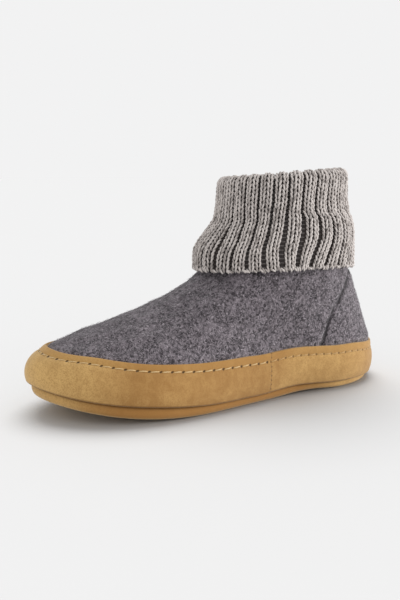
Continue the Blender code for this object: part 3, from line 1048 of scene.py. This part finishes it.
def yarn_material(name, knit):
    """Woolly yarn whose strands vary a little from stitch to stitch."""
    finish = Finish(name, YARN_SHADER)
    fibre = finish.noise(YARN_FIBRE)
    tone = finish.ease(0.6 * finish.attribute("shade") + 0.7 * fibre, YARN_TONES)
    return finish.done(finish.mix(tone, knit.yarn, knit.yarn_dark), 0.86 + 0.1 * fibre, fibre, YARN_RELIEF)


def ground_material(name, knit):
    """The knit behind the stitches: painted shade, darkest under the stitches and dark in the valleys, with
    the lighter bars of the purl rows.
    """
    finish = Finish(name, GROUND_SHADER)
    _, up = finish.surface()
    bar = finish.maths("PINGPONG", up, knit.course / 2) / (knit.course / 2)
    fibre = finish.noise(GROUND_FIBRE)
    # Painted shade in the valleys, lighter on the purl bars
    base = finish.mix(finish.ease(bar + 0.4 * fibre, PURL_BAR), knit.valley, knit.purl)
    # Painted shade under the stitches, where the ground lies under the ribs' crests
    base = finish.mix(finish.ease(finish.attribute("valley"), GROUND_SHADE_UNDER_STITCHES), base, knit.shade)
    return finish.done(base, 0.9 + 0.08 * fibre, bar + fibre, GROUND_RELIEF)


# Slabs: points along each side, rings that close their faces, and where painted light and sheen turn the
# sole pale along the boot
SLAB_STATIONS = 64
CAP_RINGS = 8
SOLE_PAINTED_LIGHT_TOE = Step(0.215, 0.250)
SOLE_PAINTED_LIGHT_HEEL = Step(0.100, 0.040)
SOLE_PAINTED_LIGHT = 0.9


def slab_bmesh(edge, edge_rows, underside, top):
    """A closed slab with the boot's outline, from the middle of its underside to the middle of its top."""
    shares = LAST.ladder(SLAB_STATIONS)
    opposite = (-np.arange(len(shares))) % len(shares)
    rings = np.array(edge[::-1])
    profile = smooth_rows(np.arange(len(rings)), rings, np.linspace(0, len(rings) - 1, edge_rows))
    outlines = [np.stack(LAST.outline(shares, inset)[:2], axis=1) for inset in profile[:, 0]]

    def cap(outline):
        middle = (outline + outline[opposite]) / 2
        return [middle + (outline - middle) * step / CAP_RINGS for step in range(CAP_RINGS)]

    plan = np.stack([*cap(outlines[0]), *outlines, *reversed(cap(outlines[-1]))], axis=1)
    side, along = np.concatenate([plan, plan[:1]]).transpose(2, 0, 1)
    rise = np.concatenate([np.zeros(CAP_RINGS), profile[:, 1], np.ones(CAP_RINGS)])
    low, high = underside(along), top(along)
    points = place(side, along, low + (high - low) * rise)
    columns, rows = along.shape
    spread = np.linspace(0, LAST.perimeter, columns), np.linspace(0, 1, rows)
    surface = np.stack(np.meshgrid(*spread, indexing="ij"), axis=-1)
    # Painted light and sheen towards the sole's toe and heel
    pale = SOLE_PAINTED_LIGHT * np.maximum(ramp(along, *SOLE_PAINTED_LIGHT_TOE), ramp(along, *SOLE_PAINTED_LIGHT_HEEL))
    return grid_bmesh(points, surface, rim=rise[None, :], seam=1.0, pale=pale)


class BOOT_OT_add_outsole(Operator):
    """Add the suede sole with its rounded edge and the groove over it"""

    bl_idname = "boot.add_outsole"
    bl_label = "Outsole"

    EDGE_ROWS = 15

    def execute(self, context):
        bm = slab_bmesh(
            OUTSOLE_EDGE,
            self.EDGE_ROWS,
            underside=lambda along: toe_lift(along) + waist_arch(along),
            top=lambda along: sole_edge(along) + toe_lift(along),
        )
        material = sole_material("sole_suede", context.scene.boot_suede)
        piece_from_bmesh("suede_outsole", bm, material, ["outsole"])
        return {"FINISHED"}


def footbed_underside(along):
    return sole_edge(along) + toe_lift(along) + GAP


class BOOT_OT_add_insole(Operator):
    """Add the felt footbed that lies inside on the sole"""

    bl_idname = "boot.add_insole"
    bl_label = "Insole"

    EDGE_ROWS = 9

    def execute(self, context):
        bm = slab_bmesh(
            FOOTBED_EDGE,
            self.EDGE_ROWS,
            underside=footbed_underside,
            top=lambda along: footbed_underside(along) + FOOTBED_THICKNESS,
        )
        material = felt_material("footbed_felt", context.scene.boot_felt)
        piece_from_bmesh("felt_footbed", bm, material, ["insole"])
        return {"FINISHED"}


# The felt's swell over the band, and its slow waves: their number round the boot and radians up a metre
SWELL_HEIGHT = 0.0007
SWELL_ABOVE_BAND = 0.0035
SWELL_WIDTH = 0.004
Wave = namedtuple("Wave", "height around climb phase")
FELT_WAVES = (
    Wave(0.0003, 9, 140, 0.0),
    Wave(0.00025, 23, -230, 1.3),
)


def seam_distance(points):
    """Distance to the heel seam, on either side of the boot."""
    places = np.stack([ORIGIN_ALONG - points[..., 1], points[..., 2]], axis=-1)
    return distance_to_line(places, np.array(HEEL_SEAM))


def felt_wall(felt, shares, rows):
    """Points of the felt's outer face with its seam, its swell over the band and its soft unevenness."""
    points, climbs = LAST.wall(shares, lambda column, total: np.linspace(0, total, rows))
    normals = outward(points, closed=True)
    over_band = climbs - LAST.band_heights(shares)[:, None]
    relief = -felt.seam_depth * bell(seam_distance(points), felt.seam_width)
    relief += SWELL_HEIGHT * bell(over_band - SWELL_ABOVE_BAND, SWELL_WIDTH)
    turn = 2 * math.pi * shares[:, None]
    for wave in FELT_WAVES:
        relief += wave.height * np.sin(wave.around * turn + wave.climb * climbs + wave.phase)
    return points + normals * relief[..., None], normals, climbs


class BOOT_OT_add_upper(Operator):
    """Add the felt upper with its heel seams"""

    bl_idname = "boot.add_upper"
    bl_label = "Felt Upper"

    COLUMNS = 400
    ROWS = 84

    # Columns stand closer together by the heel seams
    SEAM_ALONG = 0.055
    SEAM_CROWDING = 2.5
    SEAM_SPREAD = 0.03
    SAMPLES = 2000

    def columns(self):
        """Shares around the boot."""
        even = np.linspace(0, 1, self.SAMPLES)
        seams = [LAST.share_at(self.SEAM_ALONG, outer) for outer in (False, True)]
        density = 1 + sum(self.SEAM_CROWDING * bell(even - seam, self.SEAM_SPREAD) for seam in seams)
        measure = np.concatenate([[0], np.cumsum((density[1:] + density[:-1]) / 2)])
        return np.interp(np.linspace(0, measure[-1], self.COLUMNS + 1), measure, even)

    def execute(self, context):
        felt = context.scene.boot_felt
        shares = self.columns()
        points, _, climbs = felt_wall(felt, shares, self.ROWS)
        around = np.broadcast_to(shares[:, None] * LAST.perimeter, climbs.shape)
        bm = grid_bmesh(points, np.stack([around, climbs], axis=-1), seam=seam_distance(points))
        material = felt_material("grey_felt", felt)
        piece = piece_from_bmesh("felt_upper", bm, material, ["upper"])
        thicken(piece, FELT_THICKNESS, even=True)
        return {"FINISHED"}


# Middle and tip of a loose fibre: how far it lies along the felt, lifts off it and curls aside
HairPoint = namedtuple("HairPoint", "along lift curl")
HAIR_POINTS = (
    HairPoint(0.5, 1.0, 0.2),
    HairPoint(0.9, 0.8, 1.0),
)


class BOOT_OT_add_felt_hairs(Operator):
    """Add the loose fibres that stand off the felt"""

    bl_idname = "boot.add_felt_hairs"
    bl_label = "Felt Hairs"

    SEED = 11
    COLUMNS = 240
    ROWS = 60
    SIDES = 3
    OVER_BAND = 0.001
    ROOT_SINK = 0.0002
    TAPER = (1.0, 0.9, 0.3)

    # Ranges of a fibre's reach in hair lengths, and of its lift and curl as shares of the reach
    REACH = (0.5, 1.3)
    LIFT = (0.05, 0.35)
    LIFT_POWER = 1.5
    CURL = (-0.5, 0.5)

    def execute(self, context):
        felt = context.scene.boot_felt
        chance = np.random.default_rng(self.SEED)
        root, out = self.roots(felt, chance)
        spin = chance.normal(size=(felt.hairs, 3))
        lie = unit(np.cross(out, spin))
        bend = unit(np.cross(out, lie))
        reach = felt.hair_length * chance.uniform(*self.REACH, (felt.hairs, 1))
        lift = chance.uniform(*self.LIFT, (felt.hairs, 1)) ** self.LIFT_POWER
        curl = chance.uniform(*self.CURL, (felt.hairs, 1))
        rest = [
            root + reach * (point.along * lie + point.lift * lift * out + point.curl * curl * bend)
            for point in HAIR_POINTS
        ]
        spines = np.stack([root - self.ROOT_SINK * out, *rest], axis=1)
        radii = np.broadcast_to(felt.hair_radius * np.array(self.TAPER), spines.shape[:2])
        run = unit(np.gradient(spines, axis=1))
        flat = unit(np.cross(run, out[:, None]))
        shade = chance.random(felt.hairs)
        mesh = tubes_mesh("felt_hairs", spines, np.cross(flat, run), flat, radii, self.SIDES, shade)
        finish_piece("felt_hairs", mesh, hair_material("felt_hair", felt))
        return {"FINISHED"}

    def roots(self, felt, chance):
        """Places spread by chance over the felt above the band, and the directions out of it."""
        shares = np.linspace(0, 1, self.COLUMNS + 1)
        points, normals, climbs = felt_wall(felt, shares, self.ROWS)
        free = climbs > LAST.band_heights(shares)[:, None] + self.OVER_BAND
        column, row = np.nonzero(free[:-1, :-1])
        corner = points[column, row]
        edges = points[column + 1, row] - corner, points[column, row + 1] - corner
        area = np.linalg.norm(np.cross(*edges), axis=1)
        pick = chance.choice(len(column), size=felt.hairs, p=area / area.sum())
        column, row = column[pick], row[pick]
        s, t = chance.random((2, felt.hairs, 1))
        low = points[column, row] * (1 - s) + points[column + 1, row] * s
        high = points[column, row + 1] * (1 - s) + points[column + 1, row + 1] * s
        return low * (1 - t) + high * t, normals[column, row]


# The two bands: where they start and end as shares around the boot, and how they are sewn, with the strength
# of the painted shade in their needle holes
BandSpan = namedtuple("BandSpan", "name node start end stitch hole thread")

# The painted shade in the heel band's needle holes is fainter than in the front band's
HEEL_HOLE_SHADE = 0.6

# Half the width of the trough that the stitching pulls into a band
PULL_WIDTH = 0.0014


def band_spans(suede):
    inner = LAST.share_at(BAND_SEAM_ALONG, outer=False)
    outer = LAST.share_at(BAND_SEAM_ALONG, outer=True)
    front = BandSpan("suede_front_band", "band_front", inner, outer, suede.stitch, 1.0, suede.thread)
    heel_sewing = suede.heel_stitch, HEEL_HOLE_SHADE, suede.heel_thread
    return front, BandSpan("suede_heel_band", "band_heel", outer - 1, inner, *heel_sewing)


def band_swell(suede, up, heights):
    """How far the band's face stands out from flat suede at distances up it."""
    line = heights - suede.stitch_drop
    share = np.clip(up / line, 0, 1)
    return suede.bulge * 4 * share * (1 - share) - suede.pull * bell(up - line, PULL_WIDTH)


def band_face(suede, shares, ups):
    """Points and normals on the band's outer face; ups gives a column's distances up it."""
    heights = LAST.band_heights(shares)
    points, up = LAST.wall(shares, lambda column, total: ups(heights[column]))
    normals = outward(points, closed=False)
    facing = np.sign((normals * normals[:, :1]).sum(axis=-1, keepdims=True))
    swell = band_swell(suede, up, heights[:, None])
    return points, normals * facing, up, swell, heights


class StitchLine:
    """Where a band is sewn on: points on its face, their directions and the distance along them."""

    SAMPLES = 900

    def __init__(self, suede, span):
        self.shares = np.linspace(span.start, span.end, self.SAMPLES)
        points, normals, _, swell, _ = band_face(
            suede, self.shares, lambda height: np.array([height - suede.stitch_drop, height])
        )
        self.out = normals[:, 0]
        self.rise = unit(points[:, 1] - points[:, 0])
        self.points = points[:, 0] + self.out * (GAP + SUEDE_THICKNESS + swell[:, :1])
        self.travel = running_length(self.points)


class BOOT_OT_add_bands(Operator):
    """Add the suede bands around the toe and the heel"""

    bl_idname = "boot.add_bands"
    bl_label = "Suede Bands"

    SPACING = 0.0013
    FACE_ROWS = 26
    BACK_ROWS = 5
    EDGE_RADIUS = 0.0007
    EDGE_STEPS = 4

    def execute(self, context):
        suede = context.scene.boot_suede
        material = band_material("tan_suede", suede)
        for span in band_spans(suede):
            columns = int((span.end - span.start) * LAST.perimeter / self.SPACING)
            shares = np.linspace(span.start, span.end, columns)
            self.add_band(suede, span, shares, material)
        return {"FINISHED"}

    def add_band(self, suede, span, shares, material):
        radius = self.EDGE_RADIUS
        turns = np.linspace(0, math.pi / 2, self.EDGE_STEPS)

        def ups(height):
            face = np.linspace(radius, height - radius, self.FACE_ROWS)
            top = height - radius + radius * np.sin(turns[1:])
            back = np.linspace(height, 0, self.BACK_ROWS)
            bottom = radius - radius * np.cos(turns[1:-1])
            return np.concatenate([face, top, back, bottom, face[:1]])

        points, normals, up, swell, heights = band_face(suede, shares, ups)
        out = np.concatenate([
            np.zeros(self.FACE_ROWS),
            -radius * (1 - np.cos(turns[1:])),
            np.full(self.BACK_ROWS, -SUEDE_THICKNESS),
            -radius * (1 - np.sin(turns[1:-1])),
            np.zeros(1),
        ])
        on_face = out > -SUEDE_THICKNESS
        rise = GAP + SUEDE_THICKNESS + out + np.where(on_face, swell, 0.0)
        points = points + normals * rise[..., None]
        points[:, -1] = points[:, 0]
        line = StitchLine(suede, span)
        travel = np.interp(shares, line.shares, line.travel)
        surface = np.stack([np.broadcast_to((travel / span.stitch)[:, None], up.shape), up], axis=-1)
        # Painted light and sheen along the band, from its table by the place along the boot
        pale = np.interp(LAST.table(shares)[:, 1], *np.array(BAND_PAINTED_LIGHT).T)[:, None]
        ends = np.minimum(travel, travel[-1] - travel) if span.node == "band_heel" else np.ones_like(travel)
        drop = heights[:, None] - up
        bm = grid_bmesh(points, surface, drop=drop, end=ends[:, None], pale=pale, hole=span.hole)
        bmesh.ops.holes_fill(bm, edges=bm.edges, sides=0)
        piece_from_bmesh(span.name, bm, material, [span.node])


class BOOT_OT_add_stitches(Operator):
    """Add the running stitch along the top of the bands"""

    bl_idname = "boot.add_stitches"
    bl_label = "Running Stitch"

    RINGS = 7
    SIDES = 6

    # Where the thread comes up and how far it runs, in stitches
    START = 0.13
    REACH = 0.74

    # Its arch and how deep its ends sink, in thread radii, and its thickness at the ends
    ARCH = 1.5
    SINK = 0.6
    END_THICKNESS = 0.75

    def execute(self, context):
        suede = context.scene.boot_suede
        for span in band_spans(suede):
            name = span.name + "_stitches"
            mesh = self.stitches(name, suede, span, StitchLine(suede, span))
            material = thread_material(span.name + "_thread", span.thread, suede)
            finish_piece(name, mesh, material)
        return {"FINISHED"}

    def stitches(self, name, suede, span, line):
        """The stitches of one band, as joined tubes."""
        count = int(line.travel[-1] / span.stitch)
        t = np.linspace(0, 1, self.RINGS)
        hump = np.sin(math.pi * t)
        reach = (np.arange(count)[:, None] + self.START + self.REACH * t) * span.stitch
        centre, out, rise = (sampled(reach, line.travel, row) for row in (line.points, line.out, line.rise))
        out = unit(out)
        arch = suede.thread_radius * (self.ARCH * hump - self.SINK)
        slant = suede.stitch_slant * (t - 0.5)
        spines = centre + out * arch[:, None] + rise * slant[:, None]
        run = unit(np.gradient(spines, axis=1))
        across = unit(np.cross(out, run))
        thickness = self.END_THICKNESS + (1 - self.END_THICKNESS) * hump
        radii = suede.thread_radius * np.broadcast_to(thickness, spines.shape[:2])
        return tubes_mesh(name, spines, across, np.cross(run, across), radii, self.SIDES, np.ones(count))


class BOOT_OT_add_cuff(Operator):
    """Add the rib-knit cuff: its ground, dark with painted shade, the V stitches of its ribs and its bound
    hem
    """

    bl_idname = "boot.add_cuff"
    bl_label = "Knitted Cuff"

    SEED = 5
    GROUND_DEPTH = 0.0021
    GROUND_THICKNESS = 0.0008
    STITCH_DEPTH = 0.0013
    RIB_ROUNDING = 0.0017
    VALLEY_SINK = 0.0015
    SIDES_OUTSIDE = 6
    SIDES_INSIDE = 4

    # Columns of the ground across each rib and its valley
    CROSSINGS = (-1.0, -0.6, 0.0, 0.6, 1.0, 1.5, 2.5)

    # Unevenness of the stitches: its spread, and how much of it goes across and out
    JITTER = 0.05
    JITTER_ACROSS = 0.3
    JITTER_OUT = 2.0

    # Loops of the hem: their length, the ranges of their slant and reach, their arch and their thinner ends
    HEM_LOOPS_A_RIB = 4
    HEM_LOOP = 0.0044
    HEM_SLANT = (0.30, 0.70)
    HEM_REACH = (0.8, 1.25)
    HEM_RINGS = 5
    HEM_ARCH = 1.4
    HEM_TAPER = 0.35

    def execute(self, context):
        knit = context.scene.boot_knit
        chance = np.random.default_rng(self.SEED)
        yarn = yarn_material("grey_yarn", knit)
        self.add_ground(knit)
        self.add_stitches(knit, yarn, chance)
        self.add_hem(knit, yarn, chance)
        return {"FINISHED"}

    def rounding(self, across):
        """How far a rib falls away from its crest line at places across it."""
        return self.RIB_ROUNDING * np.clip(np.abs(across), 0, 1) ** 2

    def add_ground(self, knit):
        """The sheet behind the stitches, which shows in the valleys."""
        sheet = KnitSheet(self.GROUND_DEPTH)
        ribs = np.repeat(np.arange(RIB_COUNT), len(self.CROSSINGS))
        across = np.tile(self.CROSSINGS, RIB_COUNT)
        points = sheet.points(sheet.angles(ribs, across))
        points = np.concatenate([points, points[:1]])
        across = np.append(across, across[0])
        normals = outward(points, closed=True)
        sink = self.rounding(across) + np.where(across > 1, self.VALLEY_SINK, 0.0)
        fade = np.ones(sheet.rows)
        fade[-sheet.SEAT_ROWS:] = np.linspace(1, 0, sheet.SEAT_ROWS)
        points = points - normals * (sink[:, None] * fade)[..., None]
        travel = np.array([running_length(column) for column in points])
        around = np.linspace(0, 1, len(points))[:, None]
        surface = np.stack([np.broadcast_to(around, travel.shape), travel], axis=-1)
        # How far the ground lies in a valley, which sets its painted shade
        valley = np.clip(sink / (self.RIB_ROUNDING + self.VALLEY_SINK), 0, 1)[:, None]
        bm = grid_bmesh(points, surface, valley=valley)
        material = ground_material("knit_ground", knit)
        piece = piece_from_bmesh("knit_ground", bm, material, ["cuff"])
        thicken(piece, self.GROUND_THICKNESS, even=False)

    def add_stitches(self, knit, yarn, chance):
        """The V stitches, two wales on each rib, outside up to the fold and inside past it."""
        sheet = KnitSheet(self.STITCH_DEPTH)
        ribs = np.repeat(np.arange(RIB_COUNT), 2)
        middles = np.tile((-0.5, 0.5), RIB_COUNT)
        across = [middles + shift for shift in (-0.5, 0.0, 0.5)]
        left, middle, right = (sheet.points(sheet.angles(ribs, places)) for places in across)
        out = unit(np.cross(right - left, np.gradient(middle, axis=1)))
        left, middle, right = (
            points - out * self.rounding(places)[:, None, None]
            for points, places in zip((left, middle, right), across)
        )
        outside, inside = [], []
        for wale in range(len(ribs)):
            travel = running_length(middle[wale])
            heights = np.arange(knit.course / 2, travel[-1], knit.course)
            slope = np.gradient(middle[wale], travel, axis=0)
            rows = (middle[wale], right[wale], left[wale], slope)
            centre, right_side, left_side, up = (sampled(heights, travel, row) for row in rows)
            width, up = right_side - left_side, unit(up)
            stitches = np.stack([centre, width, up, unit(np.cross(width, up))], axis=1)
            before_fold = heights < travel[sheet.fold]
            outside.append(stitches[before_fold])
            inside.append(stitches[~before_fold])
        for name, wales, sides in (
            ("knit_turndown", outside, self.SIDES_OUTSIDE),
            ("knit_inside", inside, self.SIDES_INSIDE),
        ):
            mesh = self.arms(name, knit, np.concatenate(wales), sides, chance)
            finish_piece(name, mesh, yarn)

    def arms(self, name, knit, stitches, sides, chance):
        """The two arms of every V stitch, as joined tubes."""
        centre, width, up, out = stitches.transpose(1, 0, 2)
        arm = np.array(ARM)
        jitter = chance.normal(scale=self.JITTER, size=(2, len(centre), 3))
        spines = []
        for half, mirror in enumerate((-1, 1)):
            local_across = mirror * arm[:, 0] + self.JITTER_ACROSS * jitter[half, :, :1]
            local_up = arm[:, 1] - 0.5 + jitter[half, :, 1:2]
            local_out = arm[:, 2] + self.JITTER_OUT * jitter[half, :, 2:]
            spines.append(
                centre[:, None]
                + width[:, None] * local_across[..., None]
                + up[:, None] * local_up[..., None] * knit.course
                + out[:, None] * local_out[..., None] * knit.yarn_depth
            )
        spines = np.concatenate(spines)
        outs = np.concatenate([out, out])
        run = unit(np.gradient(spines, axis=1))
        flat = unit(np.cross(outs[:, None], run))
        radii = knit.yarn_radius * np.broadcast_to(arm[:, 3], spines.shape[:2])
        deep = np.cross(run, flat) * (knit.yarn_depth / knit.yarn_radius)
        return tubes_mesh(name, spines, flat, deep, radii, sides, chance.random(len(spines)))

    def add_hem(self, knit, yarn, chance):
        """The slanted loops that bind the hem."""
        sheet = KnitSheet(self.STITCH_DEPTH)
        ribs = np.repeat(np.arange(RIB_COUNT), self.HEM_LOOPS_A_RIB)
        across = np.tile(np.linspace(-1, 3, self.HEM_LOOPS_A_RIB, endpoint=False), RIB_COUNT)
        points = sheet.points(sheet.angles(ribs, across))
        ring = points[:, 0]
        along = unit(np.roll(ring, -1, axis=0) - np.roll(ring, 1, axis=0))
        up = unit(points[:, 1] - ring)
        out = unit(np.cross(along, up))
        t = np.linspace(-1, 1, self.HEM_RINGS)
        slant = chance.uniform(*self.HEM_SLANT, (len(ring), 1))
        reach = self.HEM_LOOP / 2 * chance.uniform(*self.HEM_REACH, (len(ring), 1)) * t
        spines = (
            ring[:, None]
            + along[:, None] * (slant * reach)[..., None]
            - up[:, None] * ((1 - slant) * reach)[..., None]
            + out[:, None] * (knit.yarn_depth * (1 - self.HEM_ARCH * t**2))[:, None]
        )
        run = unit(np.gradient(spines, axis=1))
        flat = unit(np.cross(out[:, None], run))
        radii = knit.yarn_radius * np.broadcast_to(1 - self.HEM_TAPER * t**2, spines.shape[:2])
        shade = chance.random(len(ring))
        mesh = tubes_mesh("knit_hem", spines, flat, np.cross(run, flat), radii, self.SIDES_OUTSIDE, shade)
        finish_piece("knit_hem", mesh, yarn)


class BOOT_OT_add_stage(Operator):
    """Add the floor, the light and the camera"""

    bl_idname = "boot.add_stage"
    bl_label = "Stage"

    FLOOR_HALF = 30.0
    FLOOR_SQUARES = 8
    SENSOR_HEIGHT = 36.0
    NEAREST = 0.01

    def execute(self, context):
        stage = context.scene.boot_stage
        floor = self.add_floor(stage)
        self.add_light(context, stage, floor)
        self.add_camera(context, stage)
        context.scene.view_settings.view_transform = "Standard"
        return {"FINISHED"}

    def add_floor(self, stage):
        """A matt floor that looks like the backdrop where nothing shades it; gives its collection."""
        bm = bmesh.new()
        squares = self.FLOOR_SQUARES
        bmesh.ops.create_grid(bm, x_segments=squares, y_segments=squares, size=self.FLOOR_HALF)
        mesh = bpy.data.meshes.new("floor")
        bm.to_mesh(mesh)
        bm.free()
        shine = sum(lamp.strength * unit(np.array(lamp.source))[2] for lamp in LAMPS if lamp.lit == "floor")
        lit = stage.sky + shine / math.pi / max(stage.backdrop)
        matt = {"Base Color": (1 / lit,) * 3, "Roughness": 1.0, "Specular IOR Level": 0.0}
        mesh.materials.append(Finish("floor", matt).material)
        floor = bpy.data.objects.new("floor", mesh)
        collection = linked_collection("floor")
        collection.objects.link(floor)
        return collection

    def add_light(self, context, stage, floor):
        world = bpy.data.worlds.new("studio")
        world.use_nodes = True
        background = world.node_tree.nodes["Background"]
        background.inputs["Color"].default_value = (*stage.backdrop, 1.0)
        background.inputs["Strength"].default_value = stage.sky
        context.scene.world = world
        receivers = {"floor": floor, "boot": pieces_collection()}
        for lamp in LAMPS:
            light = bpy.data.lights.new(lamp.name, "SUN")
            light.energy = lamp.strength
            light.angle = math.radians(lamp.spread)
            item = bpy.data.objects.new(lamp.name, light)
            item.rotation_euler = Vector(lamp.source).to_track_quat("Z", "Y").to_euler()
            item.light_linking.receiver_collection = receivers[lamp.lit]
            context.scene.collection.objects.link(item)

    def add_camera(self, context, stage):
        lens = bpy.data.cameras.new("camera")
        lens.sensor_fit = "VERTICAL"
        lens.sensor_height = self.SENSOR_HEIGHT
        lens.lens = stage.lens
        lens.clip_start = self.NEAREST
        camera = bpy.data.objects.new("camera", lens)
        camera.location = stage.eye
        camera.rotation_euler = stage.aim
        context.scene.collection.objects.link(camera)
        context.scene.camera = camera


OPERATORS = (
    BOOT_OT_add_stage,
    BOOT_OT_add_outsole,
    BOOT_OT_add_insole,
    BOOT_OT_add_upper,
    BOOT_OT_add_felt_hairs,
    BOOT_OT_add_bands,
    BOOT_OT_add_stitches,
    BOOT_OT_add_cuff,
)

SETTINGS = {
    "boot_felt": FeltSettings,
    "boot_suede": SuedeSettings,
    "boot_knit": KnitSettings,
    "boot_stage": StageSettings,
}


class BOOT_PT_house_boot(Panel):
    """Buttons for the boot's pieces, and their sizes and colours"""

    bl_label = "House Boot"
    bl_space_type = "VIEW_3D"
    bl_region_type = "UI"
    bl_category = "House Boot"

    def draw(self, context):
        for operator in OPERATORS:
            self.layout.operator(operator.bl_idname)
        for name, group in SETTINGS.items():
            box = self.layout.box()
            box.label(text=group.__doc__)
            for setting in group.__annotations__:
                box.prop(getattr(context.scene, name), setting)


def register():
    for item in (*SETTINGS.values(), *OPERATORS, BOOT_PT_house_boot):
        bpy.utils.register_class(item)
    for name, group in SETTINGS.items():
        setattr(bpy.types.Scene, name, PointerProperty(type=group))


def unregister():
    for name in SETTINGS:
        delattr(bpy.types.Scene, name)
    for item in (BOOT_PT_house_boot, *reversed(OPERATORS), *SETTINGS.values()):
        bpy.utils.unregister_class(item)


def main():
    register()
    bpy.ops.boot.add_stage()
    bpy.ops.boot.add_outsole()
    bpy.ops.boot.add_insole()
    bpy.ops.boot.add_upper()
    bpy.ops.boot.add_felt_hairs()
    bpy.ops.boot.add_bands()
    bpy.ops.boot.add_stitches()
    bpy.ops.boot.add_cuff()


if __name__ == "__main__":
    main()
